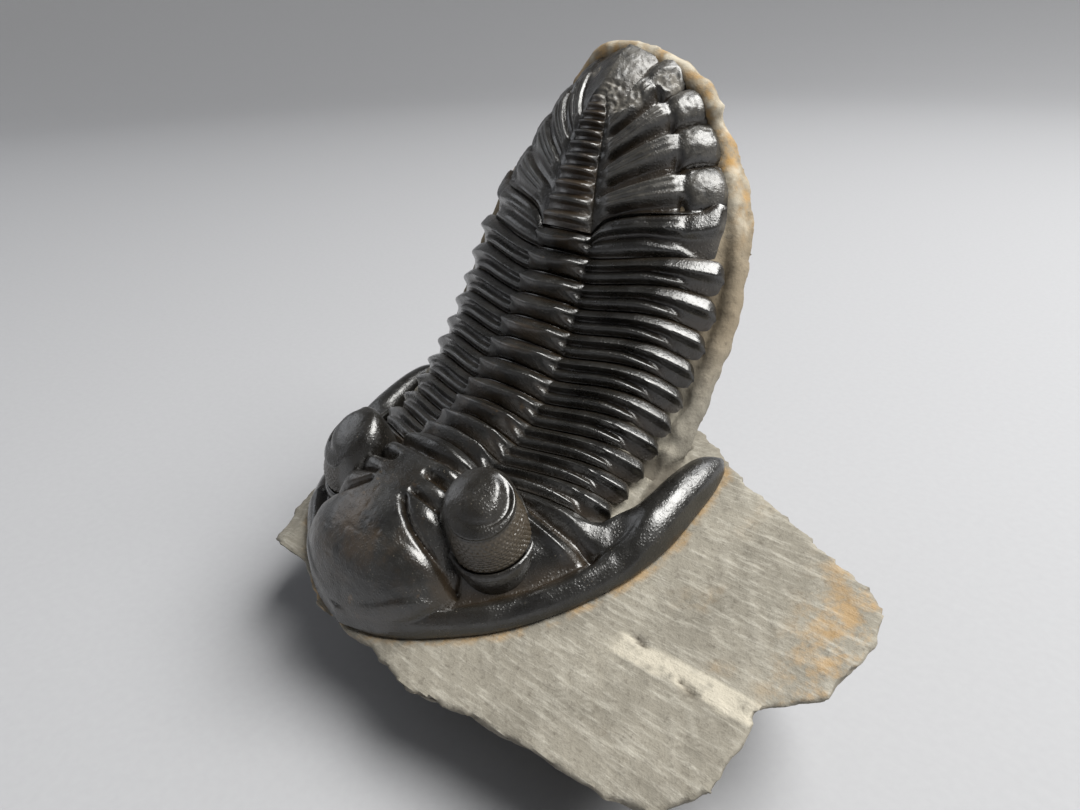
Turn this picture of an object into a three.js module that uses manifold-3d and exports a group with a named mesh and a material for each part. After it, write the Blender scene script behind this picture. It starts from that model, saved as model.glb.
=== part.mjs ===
// Trilobite fossil on its rock. Millimetres, Z up, the head faces -Y and +X is the animal's left.
// The back is one bent sheet: every plate is laid out on it, and the rock fills the space below.

import * as THREE from 'three';
import Module from 'manifold-3d';

const DEG = Math.PI / 180;

// The back curves up behind the head. Each arc has a length and a start and end slope in degrees.
const BACK_ARCS = [
  { length: 12.4, from: 4, to: 44 },
  { length: 21.4, from: 44, to: 68.5 },
  { length: 26, from: 68.5, to: 60.8 },
];

// Thorax: eleven plates, the last a little shorter than the rest.
const SEGMENTS = 11;
const PITCH = 3.1;
const LAST_PITCH = 2.8;
const THORAX_END = PITCH * (SEGMENTS - 1) + LAST_PITCH;

// Cross-section of the back, as pairs of distance behind the head and size.
const AXIS_HALF_WIDTH = [[0, 6.2], [12.4, 5.9], [24.8, 5.1], [33.8, 3.9], [47, 2.0], [50, 1.0]];
const HALF_WIDTH = [[0, 20], [6, 20.3], [15, 20.6], [31, 20.2], [38.4, 19.3]];
const SIDE_DROP = [[0, 6.6], [6, 7.2], [15, 8], [31, 8.2], [38.4, 8.6]];
const RING_HEIGHT = [[0, 3.2], [20, 3.0], [33.8, 2.4], [44, 1.5], [50, 0.5]];
const SIDE_ROUNDNESS = 2.2;

// How far each joint line sweeps back between the axis and the tip, by joint number.
const TIP_SWEEP = [[0, 3.9], [1, 3.5], [2, 2.8], [3, 2.1], [4, 1.6], [6, 1.15], [8, 1.3], [9, 2.0],
  [10, 3.1], [11, 4.6]];
const SWEEP_POWER = 1.5;

// Plates are this thick, and stand this far from each other and from the rock.
const PLATE_THICKNESS = 1.3;
const GAP = 0.3;

// Head: a dome over a flat margin plane that leans nose down.
const HEAD_TILT = 18 * DEG;
const HEAD_FRONT = new THREE.Vector3(0, -17.9, -13.2);
const HEAD_MARGIN = [[0, 0], [4.5, 1.0], [7.9, 2.4], [12.8, 5.5], [17.2, 9.0], [20.8, 13.2], [23.9, 18.2],
  [25.9, 22.8], [27.0, 28.5], [27.1, 35], [26.6, 39], [25.7, 40.6]];
const SPINE_START = 0.62;
const SPINE_INNER = [[20.3, 25.2, 3.0], [21.6, 29.2, 2.0], [23.0, 35, 1.3], [24.3, 38.9, 0.9],
  [25.4, 40.5, 0.5]];
const HEAD_DOME = 7.3;
const HEAD_DOME_POWER = 2.2;
const HEAD_CENTRE = [0, 21];
const EDGE_HEIGHT = 0.9;
const SPINE_CREST = 2.6;

// Glabella, the raised middle of the head: half-width and crest height along the head.
const GLABELLA_WIDTH = [[1.2, 0.5], [2.4, 6.3], [4.5, 9.5], [7, 11.3], [8.5, 11.5], [10, 10.7], [11.6, 9.3],
  [14, 8.2], [17, 7.2], [20, 6.4], [24, 6.2]];
const GLABELLA_CREST = [[1.2, 1.4], [2, 3.6], [3, 5.2], [4.5, 6.9], [7, 8.7], [10, 9.8], [14, 10.4],
  [18, 10.4], [19.8, 9.5], [21, 10.2], [24, 10.1]];

// Eyes: tapered drums standing on the cheeks.
const EYE = { x: 12, t: 16, base: 2.6, foot: 4.2, shoulder: 9.3, shoulderRadius: 3.9, top: 10.5 };
const EYE_TOP_SHIFT = { x: -0.8, t: 0.1 };

// Tail plate: joint lines run from the axis to the margin, one for each rib and lobe.
const TAIL_AXIS = [[0, 33.8], [1, 36.2], [2, 38.6], [3, 41.2], [4, 44.2], [5, 47.6], [5.5, 50.4]];
const TAIL_MARGIN = [[0, 19.3, 38.4], [1, 15.3, 44.6], [2, 11.9, 49.2], [3, 8.5, 52.9], [4, 5.0, 55.8],
  [5, 1.8, 57.4], [5.5, 0, 57.7]];
const TAIL_DROP = [[0, 8.6], [1, 9.0], [2, 8.4], [3, 7.2], [4, 5.6], [5.5, 3.2]];
const TAIL_ROWS = 5.5;
const TAIL_SIDE = TAIL_MARGIN.map(([, x, s]) => [s, x]);
const TAIL_FALL = TAIL_MARGIN.map(([k, , s]) => [s, along(TAIL_DROP, k)]);
const LOBE_DEPTH = 1.1;

// Rock: the outline of the slab on the margin plane, and the smaller flat foot that it stands on.
const SLAB_OUTLINE = [[1.6, -0.5], [5.2, -0.3], [12.7, -1.7], [21, 0.1], [36.1, 1.2], [41, 2.8], [43.9, 7],
  [44.2, 12.1], [43.8, 15.5], [48.4, 19.8], [49.6, 26], [49.4, 30.9], [43.8, 34], [37, 36.9], [29.6, 39.5],
  [22, 44], [10, 47], [-10, 47], [-22, 44], [-28.5, 36], [-28, 26], [-24.6, 18], [-22.6, 14.5], [-24.4, 12], [-21.2, 6],
  [-20.1, 3.2], [-15, 3.0], [-11.7, 3.2], [-5, 0.2]];
const SLAB_LIP = 2.2;
const LEFT_DROOP = { from: -17, slope: 0.35 };
const FLOOR = -25;
const FOOT_CENTRE = [7, 16];
const FOOT_SCALE = [0.62, 0.5];
const RIM = [[0, 1.4], [38, 1.4], [44, 2.4], [52, 3.2], [56, 3.0], [59, 1.6]];
const PILLAR_DEPTH = [[-1, 23], [6, 24], [12.4, 25], [20, 21], [31, 16], [45, 12.5], [54, 9],
  [58, 6.5]];
const PILLAR_SECTIONS = [-1, 3, 7, 11, 16, 21, 26, 31, 36, 40, 44, 48, 51, 53.5, 55.5, 57, 59];
const TAIL_END = 59.6;

// The shapes are laid out from the joint between head and thorax; the part's origin is the middle of
// its bounding box at floor level.
const ORIGIN = new THREE.Vector3(11.26, 10.04, FLOOR);

const STONE = { fossil: '#3a3532', rock: '#8f8778' };

// Value at v on a polyline of [position, value] pairs.
function along(pairs, v, column = 1) {
  const last = pairs.length - 1;
  if (v <= pairs[0][0]) return pairs[0][column];
  if (v >= pairs[last][0]) return pairs[last][column];
  let i = 0;
  while (v > pairs[i + 1][0]) i += 1;
  const f = (v - pairs[i][0]) / (pairs[i + 1][0] - pairs[i][0]);
  return pairs[i][column] + f * (pairs[i + 1][column] - pairs[i][column]);
}

// Point at fraction f of the length of a polyline.
function pointAt(line, f) {
  const steps = line.slice(1).map((p, i) => Math.hypot(...p.map((v, k) => v - line[i][k])));
  let left = f * steps.reduce((sum, step) => sum + step, 0);
  let i = 0;
  while (i < steps.length - 1 && left > steps[i]) {
    left -= steps[i];
    i += 1;
  }
  const g = Math.min(left / steps[i], 1);
  return line[i].map((v, k) => v + g * (line[i + 1][k] - v));
}

// Place on the bent back: x across, s along the midline behind the head, h above the side furrows.
function onBack(x, s, h) {
  let y = 0;
  let z = 0;
  let start = 0;
  let slope = 0;
  BACK_ARCS.forEach((arc, i) => {
    const inside = i === BACK_ARCS.length - 1 || s < start + arc.length;
    if (start > s && i > 0) return;
    const bend = (arc.to - arc.from) * DEG / arc.length;
    const run = inside ? s - start : arc.length;
    slope = arc.from * DEG + bend * run;
    y += (Math.sin(slope) - Math.sin(arc.from * DEG)) / bend;
    z -= (Math.cos(slope) - Math.cos(arc.from * DEG)) / bend;
    start = inside ? Infinity : start + arc.length;
  });
  return new THREE.Vector3(x, y - Math.sin(slope) * h, z + Math.cos(slope) * h);
}

// Place over the head's margin plane: x across, t back from the front border, n above the plane.
function onSlab(x, t, n) {
  return new THREE.Vector3(
    x,
    HEAD_FRONT.y + t * Math.cos(HEAD_TILT) - n * Math.sin(HEAD_TILT),
    HEAD_FRONT.z + t * Math.sin(HEAD_TILT) + n * Math.cos(HEAD_TILT),
  );
}

// As onSlab, with the far left of the head sagging below the plane.
function onHead(x, t, n) {
  return onSlab(x, t, n + LEFT_DROOP.slope * Math.min(0, x - LEFT_DROOP.from));
}

// Rounded fall of the side lobes: fraction out and fraction down for a turn from 0 to 90 degrees.
function sideCurve(turn) {
  const power = 2 / SIDE_ROUNDNESS;
  const lean = Math.atan2(Math.sin(turn) ** 1.6, Math.cos(turn));
  return { out: Math.sin(turn) ** power, down: 1 - Math.cos(turn) ** power, lean };
}

// Body between an upper and a lower grid of points, with walls round the sides.
function plateBody(upper, lower, walls = { ends: true, first: true, last: true }) {
  const points = [];
  const index = new Map();
  const add = (p) => {
    const key = [p.x, p.y, p.z].map((v) => Math.round(v * 2000)).join(',');
    if (!index.has(key)) {
      index.set(key, points.length);
      points.push(p);
    }
    return index.get(key);
  };
  const top = upper.map((row) => row.map(add));
  const under = lower.map((row) => row.map(add));
  const triangles = [];
  const triangle = (a, b, c) => {
    if (a !== b && b !== c && c !== a) triangles.push(a, b, c);
  };
  const quad = (a, b, c, d) => {
    triangle(a, b, c);
    triangle(a, c, d);
  };
  const rows = top.length;
  const columns = top[0].length;
  for (let r = 0; r < rows - 1; r += 1) {
    for (let c = 0; c < columns - 1; c += 1) {
      quad(top[r][c], top[r + 1][c], top[r + 1][c + 1], top[r][c + 1]);
      quad(under[r][c], under[r][c + 1], under[r + 1][c + 1], under[r + 1][c]);
    }
    if (walls.first) quad(top[r][0], under[r][0], under[r + 1][0], top[r + 1][0]);
    const e = columns - 1;
    if (walls.last) quad(top[r][e], top[r + 1][e], under[r + 1][e], under[r][e]);
  }
  if (walls.ends) {
    const e = rows - 1;
    for (let c = 0; c < columns - 1; c += 1) {
      quad(top[0][c], top[0][c + 1], under[0][c + 1], under[0][c]);
      quad(top[e][c], under[e][c], under[e][c + 1], top[e][c + 1]);
    }
  }
  return { points, triangles };
}

// Body swept through a row of closed loops, capped flat at both ends.
function loftBody(loops) {
  const count = loops[0].length;
  const triangles = [];
  for (let r = 0; r < loops.length - 1; r += 1) {
    for (let c = 0; c < count; c += 1) {
      const d = (c + 1) % count;
      const [a, b] = [r * count, (r + 1) * count];
      triangles.push(a + c, a + d, b + d, a + c, b + d, b + c);
    }
  }
  const flatten = (loop) => {
    const centre = loop.reduce((sum, p) => sum.add(p), new THREE.Vector3()).multiplyScalar(1 / count);
    const across = loop[0].clone().sub(centre).normalize();
    const normal = new THREE.Vector3();
    loop.forEach((p, i) => normal.add(
      p.clone().sub(centre).cross(loop[(i + 1) % count].clone().sub(centre)),
    ));
    const upward = normal.normalize().clone().cross(across);
    return loop.map((p) => {
      const v = p.clone().sub(centre);
      return new THREE.Vector2(v.dot(across), v.dot(upward));
    });
  };
  const last = (loops.length - 1) * count;
  THREE.ShapeUtils.triangulateShape(flatten(loops[0]), []).forEach(([a, b, c]) => {
    triangles.push(c, b, a);
  });
  THREE.ShapeUtils.triangulateShape(flatten(loops[loops.length - 1]), []).forEach(([a, b, c]) => {
    triangles.push(last + a, last + b, last + c);
  });
  return { points: loops.flat(), triangles };
}

// Turns a body inside out when its volume comes out negative.
function outward(body) {
  const volume = body.triangles.reduce((sum, v, i) => {
    if (i % 3) return sum;
    const [a, b, c] = [0, 1, 2].map((k) => body.points[body.triangles[i + k]]);
    return sum + a.dot(b.clone().cross(c)) / 6;
  }, 0);
  if (volume > 0) return body;
  const triangles = [];
  for (let i = 0; i < body.triangles.length; i += 3) {
    triangles.push(body.triangles[i], body.triangles[i + 2], body.triangles[i + 1]);
  }
  return { points: body.points, triangles };
}

// How far a joint line lies behind its place on the axis, at distance x from the midline.
function sweepBack(joint, x, s) {
  const axis = along(AXIS_HALF_WIDTH, s);
  const f = Math.max(0, (Math.abs(x) - axis) / (along(HALF_WIDTH, s) - axis));
  return along(TIP_SWEEP, joint) * f ** SWEEP_POWER;
}

// Stations across a back section: x, height h, and how much the surface leans outward there.
function backStations(s, sideSteps, ringSteps) {
  const axis = along(AXIS_HALF_WIDTH, s);
  const width = along(HALF_WIDTH, s);
  const drop = along(SIDE_DROP, s);
  const crest = along(RING_HEIGHT, s);
  const right = [];
  for (let i = 1; i <= ringSteps; i += 1) {
    const turn = (i / ringSteps) * 90 * DEG;
    right.push({
      x: axis * Math.sin(turn), h: crest * Math.cos(turn), lean: turn * 0.7, ring: 1 - (i / ringSteps) ** 6,
    });
  }
  right[ringSteps - 1].lean = 0;
  for (let i = 1; i <= sideSteps; i += 1) {
    const turn = (i / sideSteps) * 90 * DEG;
    const { out, down, lean } = sideCurve(turn);
    right.push({ x: axis + (width - axis) * out, h: -drop * down, lean, ring: 0 });
  }
  const left = right.map((p) => ({ ...p, x: -p.x, lean: -p.lean })).reverse();
  return [...left, { x: 0, h: crest, lean: 0, ring: 1 }, ...right];
}

// Moves a station inward or outward along its own leaning normal.
function offsetStation(station, distance) {
  return {
    x: station.x + Math.sin(station.lean) * distance,
    h: station.h + Math.cos(station.lean) * distance,
  };
}

// Relief across one plate from its front edge (0) to its rear edge (1).
const PLEURA_RELIEF = [[0, -0.55], [0.16, 0.05], [0.42, -0.55], [0.76, 0.42], [1, -0.5]];
const RING_RELIEF = [[0, -0.9], [0.16, -0.35], [0.42, 0.2], [0.76, 0.3], [1, -0.35]];

// One thoracic plate: an arched ring in the middle and a rounded side lobe on each side.
function thoracicSegment(number) {
  const front = PITCH * (number - 1);
  const back = number === SEGMENTS ? THORAX_END : front + PITCH;
  const upper = [];
  const lower = [];
  backStations((front + back) / 2, 8, 3).forEach((station) => {
    const begin = front + sweepBack(number - 1, station.x, front) + GAP / 2;
    const end = back + sweepBack(number, station.x, back) - GAP / 2;
    const at = (f) => begin + f * (end - begin);
    const place = (f, distance) => {
      const p = offsetStation(station, distance);
      return onBack(p.x, at(f), p.h);
    };
    upper.push(PLEURA_RELIEF.map(([f, side], i) => {
      const relief = station.ring * RING_RELIEF[i][1] + (1 - station.ring) * side;
      return place(f, relief);
    }));
    lower.push(PLEURA_RELIEF.map(([f]) => place(f < 0.5 ? 0 : 1, -PLATE_THICKNESS)));
  });
  return plateBody(upper, lower);
}

// Place on the tail, as x and s, on joint line k at fraction out of the way from axis to margin.
function onTail(k, axis, margin, out) {
  const s = along(TAIL_AXIS, k);
  const bend = [margin[0] * 0.72 + axis * 0.28, s + 0.22 * (margin[1] - s)];
  const curve = (from, to, n) => (1 - out) ** 2 * from + 2 * out * (1 - out) * bend[n] + out ** 2 * to;
  return [curve(axis, margin[0], 0), curve(s, margin[1], 1), bend];
}

// Tail plate: ribs run out from the tapering axis to a lobed margin.
function pygidium(grow) {
  const steps = 21;
  const sideSteps = 8;
  const ringSteps = 3;
  const frontAxis = along(AXIS_HALF_WIDTH, THORAX_END);
  const upper = [];
  const lower = [];
  const addRow = (k, sign) => {
    const s = along(TAIL_AXIS, k) + (k === 0 ? GAP / 2 : 0);
    const axis = k >= TAIL_ROWS ? 0 : along(AXIS_HALF_WIDTH, s);
    const crest = k >= TAIL_ROWS ? 0 : along(RING_HEIGHT, s);
    const lobe = Math.abs(Math.sin(Math.PI * k)) ** 0.6;
    const pull = 1 - (LOBE_DEPTH * (1 - lobe) * Math.min(k, 1)) / 20;
    const margin = [along(TAIL_MARGIN, k) * pull, along(TAIL_MARGIN, k, 2)];
    const drop = along(TAIL_DROP, k);
    const rib = 0.45 * (lobe - 0.5) * (k > 0 ? 1 : 0);
    const top = [];
    const under = [];
    for (let i = 0; i <= ringSteps; i += 1) {
      const turn = (i / ringSteps) * 90 * DEG;
      const h = crest * Math.cos(turn);
      const below = 2 * Math.floor(i / 2) === i ? turn : turn - (90 * DEG) / ringSteps;
      top.push(onBack(sign * axis * Math.sin(turn), s, h + grow));
      under.push(onBack(sign * axis * Math.sin(below), s, crest * Math.cos(below) - PLATE_THICKNESS - grow));
    }
    for (let i = 1; i <= sideSteps; i += 1) {
      const { out, down, lean } = sideCurve((i / sideSteps) * 90 * DEG);
      const [x, line, bend] = onTail(k, axis, margin, out);
      const [frontX, frontLine] = onTail(0, frontAxis, TAIL_MARGIN[0].slice(1), out);
      const joint = THORAX_END + GAP / 2 + sweepBack(SEGMENTS, frontX, THORAX_END);
      const y = line + Math.max(0, 1 - k) * (joint - frontLine);
      const run = new THREE.Vector2(margin[0] - bend[0], (margin[1] - bend[1]) * Math.min(1, k)).normalize();
      const relief = rib * Math.min(1, out * 3) * Math.cos(lean * 0.8);
      const inward = Math.sin(lean) * (PLATE_THICKNESS + grow);
      const fall = Math.cos(lean) * (PLATE_THICKNESS + grow) + 0.25 + grow;
      const push = Math.sin(lean) * grow;
      top.push(onBack(sign * (x + run.x * push), y + run.y * push, -drop * down + relief + grow));
      if (i % 2 && k > 0) under.push(under[under.length - 1]);
      else under.push(onBack(sign * (x - run.x * inward), y - run.y * inward, -drop * down - fall));
    }
    upper.push(top);
    lower.push(under);
  };
  for (let i = 0; i <= steps; i += 1) addRow((i / steps) * TAIL_ROWS, 1);
  for (let i = steps - 1; i >= 0; i -= 1) addRow((i / steps) * TAIL_ROWS, -1);
  return plateBody(upper, lower, { ends: true, first: false, last: true });
}

// Height of the head's upper surface over the margin plane, without the eyes.
function headHeight(x, t, edge, width) {
  const centre = Math.hypot(x - HEAD_CENTRE[0], t - HEAD_CENTRE[1]);
  const inside = edge / (edge + centre + 1e-6);
  const dome = HEAD_DOME * (1 - (1 - inside) ** HEAD_DOME_POWER);
  const roll = EDGE_HEIGHT + 1.5 * Math.sqrt(Math.max(0, 1 - (edge / width - 0.5) ** 2 * 4));
  const cheek = Math.max(dome, edge < width ? roll : 0);
  const half = along(GLABELLA_WIDTH, t);
  if (t < GLABELLA_WIDTH[0][0] || Math.abs(x) >= half) return cheek;
  const crest = along(GLABELLA_CREST, t);
  const round = (1 - (Math.abs(x) / half) ** 2.6) ** 0.42;
  const foot = Math.min(cheek, crest) - 0.3;
  return foot + (crest - foot) * round;
}

// Rear rail of the head: the joint with the first thoracic plate, then the inner edge of a spine.
function headRear(v) {
  const side = Math.abs(v);
  if (side <= SPINE_START) {
    const x = 19.6 * (side / SPINE_START);
    const s = sweepBack(0, x, 0) - GAP / 2;
    const axis = along(AXIS_HALF_WIDTH, 0);
    const drop = along(SIDE_DROP, 0);
    const u = Math.max(0, (x - axis) / (along(HALF_WIDTH, 0) - axis));
    const fall = drop * (1 - (1 - u ** SIDE_ROUNDNESS) ** (1 / SIDE_ROUNDNESS));
    const arch = x < axis ? along(RING_HEIGHT, 0) * Math.sqrt(1 - (x / axis) ** 2) : 0;
    const p = onBack(x, s, arch - fall - 0.4).sub(HEAD_FRONT);
    const t = p.y * Math.cos(HEAD_TILT) + p.z * Math.sin(HEAD_TILT);
    const n = -p.y * Math.sin(HEAD_TILT) + p.z * Math.cos(HEAD_TILT);
    return [x, t, Math.max(n, 2.4)];
  }
  return pointAt(SPINE_INNER, (side - SPINE_START) / (1 - SPINE_START));
}

// The head plate, grown outward by the given amount, with this many rungs a side and columns.
function headPlate(grow, half, columns) {
  const upper = [];
  const lower = [];
  for (let i = -half; i <= half; i += 1) {
    const v = i / half;
    const sign = Math.sign(v) || 1;
    const rear = headRear(v);
    const outer = pointAt(HEAD_MARGIN, Math.abs(v));
    const length = Math.hypot(outer[0] - rear[0], outer[1] - rear[1]);
    const spine = Math.max(0, (Math.abs(v) - SPINE_START) / (1 - SPINE_START));
    const width = 1.8 + 2.4 * Math.min(1, Math.abs(v) / SPINE_START);
    const top = [];
    const under = [];
    for (let c = 0; c <= columns; c += 1) {
      const f = 0.5 - 0.5 * Math.cos((c / columns) ** 0.8 * Math.PI);
      const x = rear[0] + (outer[0] - rear[0]) * f;
      const t = rear[1] + (outer[1] - rear[1]) * f;
      const edge = length * (1 - f);
      const dome = headHeight(x, t, edge, width);
      const ridge = EDGE_HEIGHT + (SPINE_CREST * (1 - spine ** 2)) * Math.sqrt(Math.max(0, f * (1 - f) * 4));
      const blend = Math.min(1, spine * 4);
      const soft = Math.max(0, 1 - (length - edge) / 3) ** 2;
      const raw = dome * (1 - blend) + ridge * blend;
      const n = raw * (1 - soft) + rear[2] * soft;
      const push = grow * (f * 2 - 1);
      const dx = ((outer[0] - rear[0]) / length) * push;
      const dt = ((outer[1] - rear[1]) / length) * push;
      top.push(onHead(sign * (x + dx), t + dt, n + grow));
      const rearmost = c < columns / 2;
      const back = rearmost ? Math.min(2.6, length * 0.3) - grow : length + grow;
      const ax = ((outer[0] - rear[0]) / length) * back;
      const at = ((outer[1] - rear[1]) / length) * back;
      under.push(onHead(sign * (rear[0] + ax), rear[1] + at, -grow));
    }
    upper.push(top);
    lower.push(under);
  }
  return plateBody(upper, lower);
}

// One eye: a tapered drum with a low domed top.
function eye(sign) {
  const sides = 16;
  const rings = [
    { n: EYE.base - 1.5, radius: EYE.foot, shift: 0 },
    { n: EYE.base + 2, radius: EYE.foot, shift: 0.1 },
    { n: EYE.shoulder - 0.4, radius: EYE.shoulderRadius, shift: 0.8 },
    { n: EYE.shoulder + 0.7, radius: EYE.shoulderRadius * 0.8, shift: 1 },
    { n: EYE.top, radius: EYE.shoulderRadius * 0.35, shift: 1 },
  ];
  return loftBody(rings.map(({ n, radius, shift }) => Array.from({ length: sides }, (_, i) => {
    const turn = (i / sides) * 2 * Math.PI;
    return onHead(
      sign * (EYE.x + EYE_TOP_SHIFT.x * shift + radius * Math.cos(turn)),
      EYE.t + EYE_TOP_SHIFT.t * shift + radius * Math.sin(turn),
      n,
    );
  })));
}

// Closed cross-section of the rock that backs the plates.
function pillarLoop(s) {
  const inTail = s > TAIL_MARGIN[0][2];
  const width = inTail ? Math.max(along(TAIL_SIDE, s), 1.5) : along(HALF_WIDTH, s);
  const drop = inTail ? along(TAIL_FALL, s) : along(SIDE_DROP, s);
  const depth = along(PILLAR_DEPTH, s);
  const sink = 3 * Math.max(0, Math.min(1, (s - 40) / 12));
  const tail = Math.max(0, (s - 52) / (TAIL_END - 52));
  const rim = along(RIM, s);
  const top = backStations(s, 6, 2).map((station) => {
    const p = offsetStation(station, -PLATE_THICKNESS - GAP);
    const low = Math.min(p.h - sink, -PLATE_THICKNESS - GAP - drop * tail);
    return { x: p.x * (width / along(HALF_WIDTH, s)), h: Math.max(low, -drop - 0.7) };
  });
  const extra = 0.45 * (depth - drop);
  const side = [
    { x: width - 1.2, h: -drop - 0.9 },
    { x: width + rim, h: -drop - 1.1 },
    { x: width + rim - 0.85 * extra, h: -drop - extra - 1 },
    { x: (width - 0.5 * extra) * 0.62, h: -drop * 0.2 - depth * 0.86 },
    { x: width * 0.25, h: -depth - 0.2 },
  ];
  const back = [...side, ...side.slice().reverse().map((p) => ({ x: -p.x, h: p.h }))];
  return [...top, ...back].map((p) => onBack(p.x, s, p.h));
}

// Space that the thoracic plates need above the slab.
function plateClearance() {
  const loops = [-4, 0, 4, 8, 12, 16, 20, 25, 30].map((s) => {
    const width = along(HALF_WIDTH, s) + 0.6;
    const drop = along(SIDE_DROP, s) + 0.9;
    const top = backStations(s, 6, 2).map((station) => offsetStation(station, -PLATE_THICKNESS - GAP));
    const back = [
      { x: width, h: -drop },
      { x: width, h: 12 },
      { x: -width, h: 12 },
      { x: -width, h: -drop },
    ];
    return [...top, ...back].map((p) => onBack(p.x, s, p.h));
  });
  return loftBody(loops);
}

// Slab with an undercut edge that narrows down to a flat foot.
function slab() {
  const centre = FOOT_CENTRE;
  const levels = [
    { n: -GAP, inset: 0 },
    { n: -GAP - SLAB_LIP, inset: 0.035 },
  ];
  const loops = levels.map(({ n, inset }) => SLAB_OUTLINE.map(([x, t]) => onSlab(
    x + (centre[0] - x) * inset,
    t + (centre[1] + 8 - t) * inset,
    n,
  )));
  const foot = SLAB_OUTLINE.map(([x, t]) => {
    const p = onSlab(x, t, 0);
    return new THREE.Vector3(
      centre[0] + (p.x - centre[0]) * FOOT_SCALE[0],
      centre[1] + (p.y - 6) * FOOT_SCALE[1],
      FLOOR,
    );
  });
  return loftBody([foot, ...loops.reverse()]);
}

const manifold = await Module();
manifold.setup();
const { Manifold, Mesh } = manifold;

function toManifold(body) {
  const { points, triangles } = outward(body);
  const mesh = new Mesh({
    numProp: 3,
    vertProperties: new Float32Array(points.flatMap((p) => [p.x, p.y, p.z])),
    triVerts: new Uint32Array(triangles),
  });
  return new Manifold(mesh);
}

function fromManifold(solid) {
  const mesh = solid.getMesh();
  const points = [];
  for (let i = 0; i < mesh.vertProperties.length; i += mesh.numProp) {
    points.push(new THREE.Vector3(...mesh.vertProperties.slice(i, i + 3)));
  }
  return { points, triangles: Array.from(mesh.triVerts) };
}

function cephalon() {
  return fromManifold(Manifold.union([headPlate(0, 22, 15), eye(1), eye(-1)].map(toManifold)));
}

// The rock: slab and pillar in one, cut away wherever a plate needs its place.
function matrix() {
  const corner = onSlab(LEFT_DROOP.from, 0, -GAP);
  const cut = onSlab(LEFT_DROOP.slope, 0, -1).sub(onSlab(0, 0, 0)).normalize();
  const ground = toManifold(slab())
    .trimByPlane(cut.toArray(), cut.dot(corner))
    .subtract(toManifold(plateClearance()));
  const pillar = toManifold(loftBody(PILLAR_SECTIONS.map(pillarLoop)))
    .trimByPlane([0, 0, 1], FLOOR);
  return fromManifold(Manifold.union([ground, pillar])
    .subtract(toManifold(headPlate(GAP * 1.6, 10, 5)))
    .subtract(toManifold(pygidium(GAP))));
}

const pieces = [
  ['matrix', matrix(), STONE.rock],
  ['cephalon', cephalon(), STONE.fossil],
];
for (let number = 1; number <= SEGMENTS; number += 1) {
  pieces.push([`thoracic_segment_${String(number).padStart(2, '0')}`, thoracicSegment(number), STONE.fossil]);
}
pieces.push(['pygidium', pygidium(0), STONE.fossil]);

const part = new THREE.Group();
part.name = 'trilobite_fossil';
pieces.forEach(([name, body, colour]) => {
  const { points, triangles } = outward(body);
  const geometry = new THREE.BufferGeometry().setFromPoints(points);
  geometry.setIndex(triangles);
  geometry.translate(-ORIGIN.x, -ORIGIN.y, -ORIGIN.z);
  geometry.computeVertexNormals();
  const mesh = new THREE.Mesh(geometry, new THREE.MeshStandardMaterial({ color: colour }));
  mesh.name = name;
  part.add(mesh);
});
export default part;
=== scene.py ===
"""A trilobite fossil on its block of limestone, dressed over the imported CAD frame.

Shapes are worked out in millimetres, in the frame that the CAD source uses: the joint between head
and thorax is the zero point, the head faces -Y, +X is the animal's left and Z is up. PART_ORIGIN
takes them to the part's own origin.
"""

import logging
import math
from dataclasses import dataclass
from enum import Enum

import bmesh
import bpy
import numpy as np
from mathutils import Matrix, Vector


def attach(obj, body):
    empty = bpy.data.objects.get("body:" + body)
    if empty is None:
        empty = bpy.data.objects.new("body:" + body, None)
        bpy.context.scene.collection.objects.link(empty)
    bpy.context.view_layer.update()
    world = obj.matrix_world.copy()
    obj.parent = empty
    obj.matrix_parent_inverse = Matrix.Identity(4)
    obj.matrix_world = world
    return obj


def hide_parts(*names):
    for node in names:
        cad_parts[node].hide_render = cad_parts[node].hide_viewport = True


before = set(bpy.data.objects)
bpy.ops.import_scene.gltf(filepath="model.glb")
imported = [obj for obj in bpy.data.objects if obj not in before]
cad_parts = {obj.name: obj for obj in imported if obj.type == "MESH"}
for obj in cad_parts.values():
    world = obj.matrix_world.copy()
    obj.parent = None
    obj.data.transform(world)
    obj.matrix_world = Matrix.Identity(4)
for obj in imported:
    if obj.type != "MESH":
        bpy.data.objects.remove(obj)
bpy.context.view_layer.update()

log = logging.getLogger("trilobite")

MM = 0.001
PART_ORIGIN = np.array([11.26, 10.04, -25.0])
SEGMENTS = 11
PITCH = 3.1
LAST_PITCH = 2.8
THORAX_END = PITCH * (SEGMENTS - 1) + LAST_PITCH
PLATE_THICKNESS = 1.3
JOINT_GAP = 0.12
SAME_POINTS_PER_MM = 2000
RELIEF_RANGE = (-1.0, 0.6)
SHARP_ANGLE = math.radians(50)
COARSE = 1


class Slot(Enum):
    """Material slots of the record."""

    FOSSIL = "fossil_calcite"
    ROCK = "limestone"


class Side(Enum):
    """The animal's two sides."""

    LEFT = 1
    RIGHT = -1


def table(pairs: list[tuple[float, float]], at: np.ndarray | float) -> np.ndarray:
    """Reads a list of (position, value) pairs at the given positions.

    Args:
        pairs: Positions in rising order, each with its value.
        at: Where to read.

    Returns:
        The values, on straight lines between the pairs.
    """
    positions, values = zip(*pairs)
    return np.interp(at, positions, values)


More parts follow.
